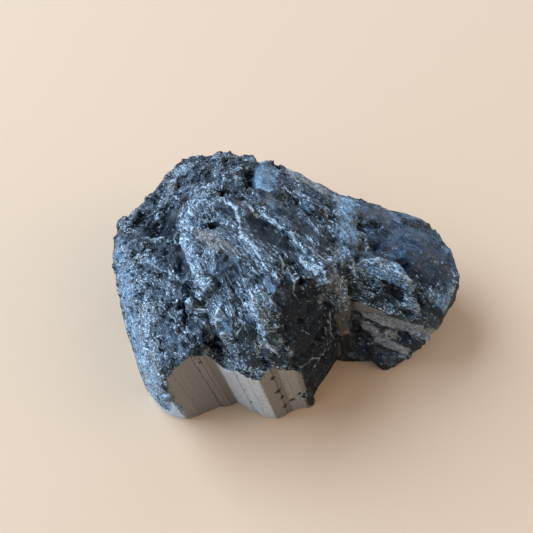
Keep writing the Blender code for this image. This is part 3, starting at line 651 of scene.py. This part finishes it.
def patch(places, start, end, bottom, top):
    """1 between two values of P and two heights and 0 outside them, with soft borders."""
    across = smoothstep(places[:, 0], start, start + 0.3) * smoothstep(-places[:, 0], -end, 0.3 - end)
    up = smoothstep(places[:, 2], bottom, bottom + 1.0) * smoothstep(-places[:, 2], -top, 1.0 - top)
    return across * up


# Chips of the break, from large to tiny: their size, the steepest slope, the most that one stands above or
# below its neighbours, and the seed.
LARGE_CHIPS = (2.9, 0.36, 0.18, 20)
SMALL_CHIPS = (1.2, 0.34, 0.09, 30)
TINY_CHIPS = (0.6, 0.30, 0.03, 40)

points = read(fine.vertices, "co")
normals = read(fine.vertex_normals, "vector")
edges = read(fine.edges, "vertices", 2, np.int32)
side = side_share(points, normals, edges, planes)
foot = (points[:, 2] < FOOT_TOP * MM).astype(float)
broken = spread(1.0 - np.maximum(side, foot), edges, 2)
places = plan(points)

# The low steps in front of the right end, and a few sharp hollows, run into one another as slanting facets.
below = 1.0 - smoothstep(places[:, 2], WING_TOP - 1.0, WING_TOP + 0.5)
wing = spread(near_path(places[:, :2], WING_FRONT, WING_DEPTH) * below * (1.0 - foot), edges, 4)
calm = np.max([in_spot(places[:, :2], p, q, radius, radius, 0.0) for p, q, radius in CALMED], axis=0)
calm = np.maximum(wing, spread(calm, edges, 3))
for _ in range(WING_SMOOTHING):
    middle = np.column_stack([spread(points[:, i], edges, 1) for i in range(3)])
    points += calm[:, None] * (middle - points)
fine.vertices.foreach_set("co", points.ravel())
fine.update()
normals = read(fine.vertex_normals, "vector")
places = plan(points)
upright_at = places[:, [0, 2]]
in_front = places[:, 1] < BATTERED_FRONT
broken = np.maximum(broken, wing)
for width, _, path in BATTERED:
    wander = 0.25 * waves(places, 0.7, 71)[:, None]
    broken = np.maximum(broken, near_path(upright_at + wander, path, width) * in_front)
side = side * (1.0 - broken)

# The part of the top that each place is in, and its place along and across that part's splinters.
parts = np.array(list(GRAIN.values()))
part = nearest_part(places, parts[:, :2])
heading = np.radians(parts[part, 2])
along = places[:, 0] * np.cos(heading) + places[:, 1] * np.sin(heading)
across = places[:, 1] * np.cos(heading) - places[:, 0] * np.sin(heading)
grain = np.column_stack([along / parts[part, 3], across, places[:, 2]]) + part[:, None] * GRAIN_SHIFT
rough, stepped, knobbly, powdery = (spread(parts[part, column], edges, 6) for column in (4, 5, 6, 7))
large, large_own = facets(grain, *LARGE_CHIPS)
small, small_own = facets(grain, *SMALL_CHIPS)
tiny, tiny_own = facets(grain, *TINY_CHIPS)

# Features wander a little, and end along the edges of chips.
wobble = np.column_stack([waves(places, 1.6, 11), waves(places, 1.6, 12)]) * 0.35
wobble += np.column_stack([waves(places, 0.6, 13), waves(places, 0.6, 14)]) * 0.12
lines_at = places[:, :2] + wobble
spots = lines_at + 0.35 * large_own + 0.30 * small_own + 0.15 * tiny_own
crack_at = lines_at + 0.25 * small_own + 0.2 * tiny_own
front_at = upright_at + 0.4 * wobble
plates_at = front_at + 0.3 * small_own

# How glassy each place is, and how much it has of each mark, from 0 to 1: crushing and painted light, frost
# and painted sheen, weathering and the painted reflection of the table, painted blue sheen, painted shade on
# the break, and the stone's own dark toward the back. A few single chips are frosted too.
glassy = in_spots(spots, GLASSY)
crushed_and_lit = near_paths(spots, CRUSHED_AND_LIT)
single_chips = 0.35 * smoothstep(small_own[:, 1], 0.70, 0.80) * (1.0 - glassy)
frost_and_sheen = np.max([in_spots(spots, FROST_AND_SHEEN_SPOTS), single_chips, near_paths(spots, FROST_AND_SHEEN_RIDGES)], axis=0)
weathered_and_table_reflection = 0.65 * near_paths(spots, WEATHERED)
blue_sheen = np.maximum(in_spots(spots, BLUE_SHEEN_SPOTS), side * (places[:, 0] < FLANK))
back_dark = smoothstep(places[:, 1], *BACK_DARK_SIDES)
break_shade = in_spots(spots, SHADED_BREAK_SPOTS)
table_reflection = np.zeros(len(places))
for width, share, path in WING_REFLECTING_PLANES:
    plate = near_path(plates_at, path, width)
    table_reflection = np.maximum(table_reflection, plate)
    frost_and_sheen = np.maximum(frost_and_sheen, share * plate * wing)
from_chip = np.min([np.hypot(*((plates_at - (p, z)) / radius).T) for p, z, radius in WING_CHIPS], axis=0)
crushed_and_lit = np.maximum(crushed_and_lit, wing * (1.0 - smoothstep(from_chip, 0.8, 1.1)))
table_reflection *= smoothstep(from_chip, 0.8, 1.1)
for width, share, path in BATTERED:
    crushed_and_lit = np.maximum(crushed_and_lit, share * near_path(upright_at, path, 1.3 * width) * in_front)
# The wing's front between its reflecting planes gets a little painted shade.
break_shade = np.maximum(break_shade, 0.3 * wing * (1.0 - table_reflection))
# The reflecting planes get the weathered brown, as a painted reflection of the warm table.
weathered_and_table_reflection = np.maximum(weathered_and_table_reflection, wing * table_reflection)
glassy = np.maximum(glassy, 0.5 * wing * (1.0 - table_reflection))

# The relief, in millimetres: chips, ridges along the splinters, terraces, knobs, and then the features one
# by one. Glassy places, weathered places and planes with the painted table reflection, and frosted places
# and those with painted sheen, are more even than the rest.
even = np.max([glassy, 0.8 * weathered_and_table_reflection, 0.7 * frost_and_sheen], axis=0)
relief = rough * (1.0 - 0.8 * even) * (large + small + (0.2 + 0.6 * knobbly) * tiny)
for height, calmed, drawn, size, seed in ((0.25, 0.8, 0.6, 2.8, 90), (0.18, 0.6, 0.35, 1.2, 92)):
    crests = 0.5 - np.abs(waves(grain * (drawn, 1.0, 0.5), size, seed))
    relief += height * stepped * (1.0 - calmed * even) * crests
risers = np.zeros(len(relief))
for size, step, seed in ((3.0, 0.20, 50), (1.3, 0.08, 55)):
    steps, rise = terraces(grain, size, step, seed)
    relief += stepped * (1.0 - 0.8 * even) * steps
    risers = np.maximum(risers, rise * stepped * (1.0 - even))
relief += 0.12 * knobbly * (1.0 - even) * knobs(places, 1.3, 60)
# Cracks are sunk, and painted shade darkens them inside.
for width, depth, path in CRACKS:
    away = from_path(crack_at, path)[0] / width
    relief -= depth * np.clip(1.0 - away, 0.0, 1.0) ** 1.2
    break_shade = np.maximum(break_shade, min(1.4 * depth, 1.0) * (1.0 - smoothstep(away, 0.1, 0.5)))
for height, width, path in RIDGES:
    relief += height * np.exp(-(from_path(lines_at, path)[0] / width) ** 2)
for height, path in LEDGES:
    away, right = from_path(lines_at, path)
    relief += height * np.exp(-(away / LEDGE_REACH) ** 2) * (smoothstep(right, -0.12, 0.12) - 0.5)
# Pits are darkened inside with painted shade, and small knobs are kept free of it.
for p, q, radius, height in PITS_AND_KNOBS:
    away = np.linalg.norm(spots - (p, q), axis=1) / radius
    relief += height * np.exp(-(away ** 2))
    if height < 0.0:
        break_shade = np.maximum(break_shade, 0.9 * (1.0 - smoothstep(away, 0.5, 0.9)))
    elif radius < SMALL_KNOB:
        break_shade = break_shade * smoothstep(away, 0.8, 1.2)
        glassy = glassy * smoothstep(away, 0.8, 1.2)
# Close to the foot the break is worn lower.
relief *= 0.35 + 0.65 * smoothstep(places[:, 2], 3.0, 9.0)
for height, path in WING_LEDGES:
    away, right = from_path(front_at, path)
    relief += wing * height * np.exp(-(away / LEDGE_REACH) ** 2) * (0.5 - smoothstep(right, -0.12, 0.12))

# How far each place is from the nearest pale edge, to its right or left, and how strong its bruise and
# painted highlight are. A pale edge on the top is painted only on ground that is nearly level, which faces
# the light.
nearly_level = smoothstep(normals[:, 2], 0.35, 0.6)
pale_edges = [(share * nearly_level, lines_at, path, 0.0) for share, path in BRUISES_AND_HIGHLIGHTS]
pale_edges += [(0.5, front_at, path, FAR * (1.0 - wing)) for _, path in WING_LEDGES]
pale_edges += [(0.6, front_at, path, FAR * ~in_front) for path in NOTCH_EDGES]
pale_edge_side = np.full(len(relief), FAR)
bruise_and_highlight = np.zeros(len(relief))
nearest = np.full(len(relief), np.inf)
for share, at, path, outside in pale_edges:
    away, right = from_path(at, path)
    away += outside
    pale_edge_side = np.where(away < nearest, right, pale_edge_side)
    nearest = np.minimum(away, nearest)
    bruise_and_highlight = np.maximum(bruise_and_highlight, share * (1.0 - smoothstep(away, 0.35, 0.55)))

# The sides carry growth lines along the columns' lean.
growth = 0.05 * waves(places * (1.0, 1.0, 0.03), 0.9, 95) + 0.03 * waves(places * (1.0, 1.0, 0.05), 0.5, 96)
moved = points + normals * ((relief * broken + growth * spread(side, edges, 2)) * MM)[:, None]
moved[:, 2] = np.where(foot > 0.5, points[:, 2], np.maximum(moved[:, 2], 0.0))
fine.vertices.foreach_set("co", moved.ravel())
fine.update()

# Grooves are kept as the pale edges are: how far each place is from the nearest, to its right or left. They
# are drawn only in colour, as painted shade.
groove_side = np.full(len(relief), FAR)
groove = np.zeros(len(relief))
for p, share in GROOVES:
    right = places[:, 0] + 0.03 * waves(places * (0.0, 0.0, 1.0), 2.5, 98) - p
    nearer = np.abs(right) < np.abs(groove_side)
    groove = np.where(nearer, share, groove)
    groove_side = np.where(nearer, right, groove_side)
share, path = CROSS_LINE
away, right = from_path(front_at, path)
nearer = away < np.minimum(np.abs(groove_side), 1.0)
groove = np.where(nearer, share, groove) * (places[:, 1] < GROOVED_FRONT)
groove_side = np.where(nearer, right, groove_side)

# Chips, painted sheen and painted shade on the sides.
chipped = np.zeros(len(relief))
for p, z, wide, high in SIDE_CHIPS:
    reach = np.hypot((front_at[:, 0] - p) / wide, (front_at[:, 1] - z) / high)
    chipped = np.maximum(chipped, (1.0 - smoothstep(reach, 0.8, 1.1)) * (places[:, 1] < SHEEN_AND_CHIPS_FRONT))
painted_sheen = np.zeros(len(relief))
for share, *limits in PAINTED_SHEENS:
    painted_sheen = np.maximum(painted_sheen, share * patch(places, *limits) * (places[:, 1] < SHEEN_AND_CHIPS_FRONT))
side_shade = 0.9 * chipped
in_side_shade_band = (places[:, 1] > SIDE_SHADE_BAND[0]) & (places[:, 1] < SIDE_SHADE_BAND[1])
for share, *limits in PAINTED_SIDE_SHADES:
    side_shade = np.maximum(side_shade, share * patch(places, *limits) * in_side_shade_band)
side_shade *= 1.0 - 0.7 * smoothstep(broken, 0.45, 0.8)

# Where the skin stands out sharply it is chipped and pale. A vertex stands out as far as it lies outside
# the middle of its neighbours, in millimetres.
normals = read(fine.vertex_normals, "vector")
middle = np.column_stack([spread(moved[:, i], edges, 2) for i in range(3)])
proud = ((moved - middle) * normals).sum(axis=1) / MM
worn = 0.6 * smoothstep(proud, 0.02, 0.09) + 0.4 * risers * smoothstep(waves(places, 1.0, 80), -0.3, 0.4)
sunk = smoothstep(-proud, 0.02, 0.09)

# The share of each place that is pale powder: partly crushed grains, partly painted light on slopes that
# face the window. Sunk places and those with painted shade get less, which paints shade in them too. Each
# chip has its own.
chip_powder = np.clip(0.5 + 0.3 * large_own[:, 0] + 0.25 * small_own[:, 0] + 0.2 * tiny_own[:, 0], 0.0, 1.0)
powder = powdery + 0.40 * (chip_powder - 0.5) + 0.25 * worn + 0.50 * crushed_and_lit - 0.2 * sunk - 0.3 * glassy
powder = np.clip(powder, 0.0, 0.9) * (1.0 - 0.7 * break_shade) * (1.0 - 0.5 * frost_and_sheen)
powder *= (1.0 - 0.9 * wing * table_reflection) * (1.0 - 0.6 * weathered_and_table_reflection)


def write(mesh, name, values):
    """Keeps one value or vector for each vertex as an attribute that the material reads."""
    kind, field = ("FLOAT", "value") if values.ndim == 1 else ("FLOAT_VECTOR", "vector")
    layer = mesh.attributes.new(name, kind, "POINT")
    layer.data.foreach_set(field, values.astype(np.float32).ravel())


masks = {"broken": broken, "glassy": glassy, "powder": powder, "weathered_and_table_reflection": weathered_and_table_reflection, "break_shade": break_shade,
         "painted_sheen": painted_sheen, "side_shade": side_shade, "pale_edge_side": pale_edge_side, "bruise_and_highlight": bruise_and_highlight, "frost_and_sheen": frost_and_sheen,
         "blue_sheen": blue_sheen, "groove_side": groove_side, "groove": groove, "back_dark": back_dark}
for name, values in masks.items():
    write(fine, name, values)
write(fine, "grain", grain)
write(fine, "place", places)
fine.shade_smooth()
fine.update()


def linear(colour):
    """An sRGB hex colour as linear red, green, blue and alpha."""
    shares = np.array([int(colour[i:i + 2], 16) / 255.0 for i in (1, 3, 5)])
    shares = np.where(shares <= 0.04045, shares / 12.92, ((shares + 0.055) / 1.055) ** 2.4)
    return (*shares.tolist(), 1.0)


def add(tree, kind, settings=None, inputs=None, links=None):
    """Adds a shader node with its settings and its inputs' values and links, and gives back its outputs."""
    new = tree.nodes.new("ShaderNode" + kind)
    for key, value in (settings or {}).items():
        setattr(new, key, value)
    for key, value in (inputs or {}).items():
        new.inputs[key].default_value = value
    for key, source in (links or {}).items():
        tree.links.new(source, new.inputs[key])
    return new.outputs


def schorl(mask_names):
    """Schorl, black tourmaline: glassy where it broke, satin with fine growth lines on its prism sides."""
    material = bpy.data.materials.new("schorl")
    material.use_nodes = True
    tree = material.node_tree
    shader = tree.nodes["Principled BSDF"]
    shader.inputs["IOR"].default_value = 1.66
    multiply = {"operation": "MULTIPLY"}
    multiply_add = {"operation": "MULTIPLY_ADD"}
    subtract = {"operation": "SUBTRACT"}
    smooth = {"interpolation_type": "SMOOTHSTEP"}
    mix_colours = {"data_type": "RGBA"}
    mask = {name: add(tree, "Attribute", {"attribute_name": name})["Fac"] for name in mask_names}
    grain_at = add(tree, "Attribute", {"attribute_name": "grain"})["Vector"]
    place_at = add(tree, "Attribute", {"attribute_name": "place"})["Vector"]

    # The break ends sharply, in a ragged line, at the prism sides.
    ragged = add(tree, "TexNoise", None, {"Scale": 3.0, "Detail": 3.0}, {"Vector": place_at})["Fac"]
    ragged = add(tree, "Math", multiply_add, {1: 0.5, 2: -0.25}, {0: ragged})[0]
    ragged = add(tree, "Math", {"operation": "ADD"}, None, {0: ragged, 1: mask["broken"]})[0]
    mask["broken"] = add(tree, "MapRange", smooth, {"From Min": 0.38, "From Max": 0.55},
                         {"Value": ragged})[0]

    # Splinters of about 0.9 mm and slivers of about 0.2 mm, each tilted its own way, catch the light one by
    # one. The slivers are drawn out along the splinters. Glassy places have half of the tilt.
    fibre_at = add(tree, "Mapping", None, {"Scale": (0.3, 1.0, 0.5)}, {"Vector": grain_at})[0]
    rough = add(tree, "Math", multiply_add, {1: -0.50, 2: 1.0}, {0: mask["glassy"]})[0]
    rough = add(tree, "Math", multiply, None, {0: rough, 1: mask["broken"]})[0]
    normal = add(tree, "NewGeometry")["Normal"]
    for size, tilt, at in ((0.9, 0.40, grain_at), (0.24, 1.0, fibre_at)):
        random = add(tree, "TexVoronoi", None, {"Scale": 1.0 / size}, {"Vector": at})["Color"]
        way = add(tree, "VectorMath", subtract, {1: (0.5, 0.5, 0.5)}, {0: random})[0]
        share = add(tree, "Math", multiply, {1: tilt}, {0: rough})[0]
        way = add(tree, "VectorMath", {"operation": "SCALE"}, None, {0: way, "Scale": share})[0]
        normal = add(tree, "VectorMath", {"operation": "ADD"}, None, {0: normal, 1: way})[0]
    normal = add(tree, "VectorMath", {"operation": "NORMALIZE"}, None, {0: normal})[0]

    # Fine fibres run along the splinters, and stand out less than a tenth of a millimetre.
    fibre = add(tree, "TexNoise", None, {"Scale": 4.0, "Detail": 4.0, "Roughness": 0.7},
                {"Vector": fibre_at})["Fac"]
    normal = add(tree, "Bump", None, {"Distance": 0.00025},
                 {"Height": fibre, "Normal": normal, "Strength": rough})[0]

    # Growth lines along the columns, a fraction of a millimetre apart, on the prism sides alone.
    growth_at = add(tree, "Mapping", None, {"Scale": (1.0, 1.0, 0.02)}, {"Vector": place_at})[0]
    growth = add(tree, "TexNoise", None, {"Scale": 3.2, "Detail": 5.0, "Roughness": 0.7},
                 {"Vector": growth_at})["Fac"]
    sided = add(tree, "Math", subtract, {0: 1.0}, {1: mask["broken"]})[0]
    sided = add(tree, "Math", multiply, {1: 0.4}, {0: sided})[0]
    normal = add(tree, "Bump", None, {"Distance": 0.0002},
                 {"Height": growth, "Normal": normal, "Strength": sided})[0]
    tree.links.new(normal, shader.inputs["Normal"])

    # Crushed grains of about 0.2 mm lie in clumps and along the splinters: a grain is pale where its own
    # level is below the powder's share there. Each cell and each speck has three random numbers of its own.
    cell = add(tree, "TexVoronoi", None, {"Scale": 4.2}, {"Vector": grain_at})
    own = add(tree, "SeparateColor", None, None, {"Color": cell["Color"]})
    speck = add(tree, "TexVoronoi", None, {"Scale": 5.2}, {"Vector": place_at})["Color"]
    speck = add(tree, "SeparateColor", None, None, {"Color": speck})
    clump = add(tree, "TexNoise", None, {"Scale": 1.2, "Detail": 4.0, "Roughness": 0.7},
                {"Vector": grain_at})["Fac"]
    level = add(tree, "Math", multiply_add, {1: 1.3, 2: -1.50}, {0: clump})[0]
    for source, weight in ((fibre, 2.2), (own[0], 0.35), (speck[0], 0.15)):
        level = add(tree, "Math", multiply_add, {1: weight}, {0: source, 2: level})[0]
    excess = add(tree, "Math", subtract, None, {0: mask["powder"], 1: level})[0]
    mottle = add(tree, "TexNoise", None, {"Scale": 2.2, "Detail": 5.0, "Roughness": 0.75},
                 {"Vector": place_at})["Fac"]

    # How strong each kind of mark is: what it depends on, the values of that at which the mark starts and is
    # full, and its full strength.
    ranges = {"pale": (excess, 0.0, 0.05, 1.0), "ground": (mask["powder"], 0.0, 0.8, 0.8),
              "sparse": (own[2], 0.95, 0.97, 1.0), "dark": (speck[2], 0.66, 0.74, 0.75),
              "gap": (cell["Distance"], 0.42, 0.62, 0.7), "stroke": (fibre, 0.50, 0.60, 0.6),
              "clumped": (clump, 0.40, 0.55, 1.0), "streak": (growth, 0.62, 0.40, 0.5),
              "mottle": (mottle, 0.50, 0.66, 0.6)}
    mark = {name: add(tree, "MapRange", None, {"From Min": start, "From Max": full, "To Max": most},
                      {"Value": source})[0] for name, (source, start, full, most) in ranges.items()}
    mark["frost_sheen"] = add(tree, "MapRange", None,
                        {"From Min": 0.30, "From Max": 0.60, "To Min": 0.65}, {"Value": clump})[0]
    for name, outer, inner in (("groove_side", 0.13, 0.04), ("pale_edge_side", 0.16, 0.05)):
        away = add(tree, "Math", {"operation": "ABSOLUTE"}, None, {0: mask[name]})[0]
        mark[name] = add(tree, "MapRange", smooth, {"From Min": outer, "From Max": inner},
                         {"Value": away})[0]
    for name, share in (("weathered_and_table_reflection", 0.8), ("glassy", 0.6), ("blue_sheen", 0.75), ("back_dark", 0.85)):
        mark[name] = add(tree, "Math", multiply, {1: share}, {0: mask[name]})[0]
    whole = add(tree, "Math", subtract, {0: 1.0}, {1: mask["frost_and_sheen"]})[0]
    fresh = add(tree, "Math", subtract, {0: 1.0}, {1: mark["weathered_and_table_reflection"]})[0]
    for name, limit in (("groove_side", mask["groove"]), ("pale_edge_side", mask["bruise_and_highlight"]),
                        ("pale_edge_side", mark["clumped"]), ("frost_sheen", mask["frost_and_sheen"]), ("gap", whole),
                        ("dark", rough), ("dark", fresh), ("stroke", whole), ("stroke", fresh)):
        mark[name] = add(tree, "Math", multiply, None, {0: mark[name], 1: limit})[0]
    # Where shade is painted, on the break and on the sides.
    unlit = add(tree, "Math", {"operation": "MAXIMUM"}, None, {0: mask["break_shade"], 1: mask["side_shade"]})[0]

    # Colours that run from one to another: pale grains, the break under them, the prism sides between their
    # growth streaks, whose grey stands in for the warm table mirrored in them as painted reflection, the
    # painted sheen on them, bluer with the painted blue sheen, and the tint of the shine, which is bluer on
    # the break.
    ramps = {"grains": (speck[1], "#465B6E", "#C6DCEE"), "break": (mark["ground"], "#07080A", "#222C36"),
             "sides": (mark["streak"], "#717171", "#5C5B5B"),
             "painted_sheen": (mask["blue_sheen"], "#B7C2CA", "#AEC3D6"),
             "shine": (mask["broken"], "#E6E2DE", "#B9D4EC")}
    ramp = {name: add(tree, "Mix", mix_colours, {6: linear(low), 7: linear(high)},
                      {"Factor": share})[2] for name, (share, low, high) in ramps.items()}

    # The colours of the sides, the break and the shine, each laid over those before it by its share. The
    # sides get the painted sheen, mottling, painted shade, the grooves' painted shade and, toward the back,
    # the stone's own dark. The break gets weathering with the painted table reflection, glassy black, frost
    # with painted sheen, painted blue sheen, painted shade, fibres, grains, specks, gaps and the pale edges
    # with painted highlights. The shine gets the painted blue sheen, and painted shade that dims it.
    laid = {
        "sides": ((mask["painted_sheen"], ramp["painted_sheen"]), (mark["mottle"], "#544D47"), (mask["side_shade"], "#0E1118"),
                  (mark["groove_side"], "#2A2624"), (mark["back_dark"], "#1B1C20")),
        "break": ((mark["weathered_and_table_reflection"], "#B2ADA6"), (mark["glassy"], "#0D1014"), (mark["frost_sheen"], "#7898B4"),
                  (mark["blue_sheen"], "#15253A"), (mask["break_shade"], "#080C15"), (mark["stroke"], "#304256"),
                  (mark["pale"], ramp["grains"]), (mark["sparse"], "#5F7080"), (mark["dark"], "#0B0D11"),
                  (mark["gap"], "#0B0D11"), (mark["pale_edge_side"], "#B0C3D0")),
        "shine": ((mask["blue_sheen"], "#8DB0D8"), (unlit, "#1E2630")),
    }
    for name, layers in laid.items():
        for share, over in layers:
            fixed, linked = ({7: linear(over)}, {}) if isinstance(over, str) else ({}, {7: over})
            linked = {"Factor": share, 6: ramp[name], **linked}
            ramp[name] = add(tree, "Mix", mix_colours, fixed, linked)[2]
    colour = add(tree, "Mix", mix_colours, None,
                 {"Factor": mask["broken"], 6: ramp["sides"], 7: ramp["break"]})[2]
    tree.links.new(colour, shader.inputs["Base Color"])
    tree.links.new(ramp["shine"], shader.inputs["Specular Tint"])

    # Satin on the sides, glossier on the break, and matt where shade is painted.
    satin = add(tree, "MapRange", None, {"To Min": 0.34, "To Max": 0.24}, {"Value": mask["broken"]})[0]
    satin = add(tree, "MapRange", None, {"To Max": 0.8}, {"Value": unlit, "To Min": satin})[0]
    tree.links.new(satin, shader.inputs["Roughness"])
    return material


fine.materials.clear()
fine.materials.append(schorl(masks))
bpy.data.objects.remove(solid)
skin.name = "tourmaline_skin"
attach(skin, "root")
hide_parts("tourmaline")

# ---------------------------------------------------------------------------------------------------
# The floor and the light: a sheet of pale warm paper, a large cool window high at the back left, the light
# that the walls and the room give back, and a dim even light from all round.

FLOOR_HALF = 1.5

sheet = bpy.data.meshes.new("floor")
corners = [(-FLOOR_HALF, -FLOOR_HALF, 0.0), (FLOOR_HALF, -FLOOR_HALF, 0.0),
           (FLOOR_HALF, FLOOR_HALF, 0.0), (-FLOOR_HALF, FLOOR_HALF, 0.0)]
sheet.from_pydata(corners, [], [(0, 1, 2, 3)])
floor = bpy.data.objects.new("floor", sheet)
bpy.context.scene.collection.objects.link(floor)

# Matt paper: a plain pale ground that shows the stone's soft shadow and lights its sides warmly from below.
paper = bpy.data.materials.new("paper_floor")
paper.use_nodes = True
paper.node_tree.nodes["Principled BSDF"].inputs["Base Color"].default_value = linear("#C5AE96")
paper.node_tree.nodes["Principled BSDF"].inputs["Roughness"].default_value = 0.8
sheet.materials.append(paper)


def soft_light(name, toward, distance, size, power, colour):
    """A square light that faces the stone: the way to it, its distance and size in metres, its watts."""
    light = bpy.data.lights.new(name, "AREA")
    light.shape = "SQUARE"
    light.size = size
    light.energy = power
    light.color = linear(colour)[:3]
    lamp = bpy.data.objects.new(name, light)
    lamp.location = (np.array(toward) / np.linalg.norm(toward) * distance).tolist()
    lamp.rotation_euler = lamp.location.to_track_quat("Z", "Y").to_euler()
    bpy.context.scene.collection.objects.link(lamp)


soft_light("window", (-0.85, 0.4, 0.66), 1.8, 1.8, 92.0, "#C9DCF0")
soft_light("left_wall", (-0.85, -0.45, 0.4), 2.0, 1.6, 24.0, "#C4D8F0")
soft_light("back_wall", (0.4, 0.8, 0.42), 2.2, 2.2, 26.0, "#B5CDEC")
soft_light("room_side", (0.9, -0.15, 0.5), 2.0, 1.8, 20.0, "#FFE0BC")

world = bpy.data.worlds.new("room")
world.use_nodes = True
world.node_tree.nodes["Background"].inputs["Color"].default_value = linear("#C9BDB0")
world.node_tree.nodes["Background"].inputs["Strength"].default_value = 0.55
bpy.context.scene.world = world
bpy.context.scene.view_settings.view_transform = "Standard"
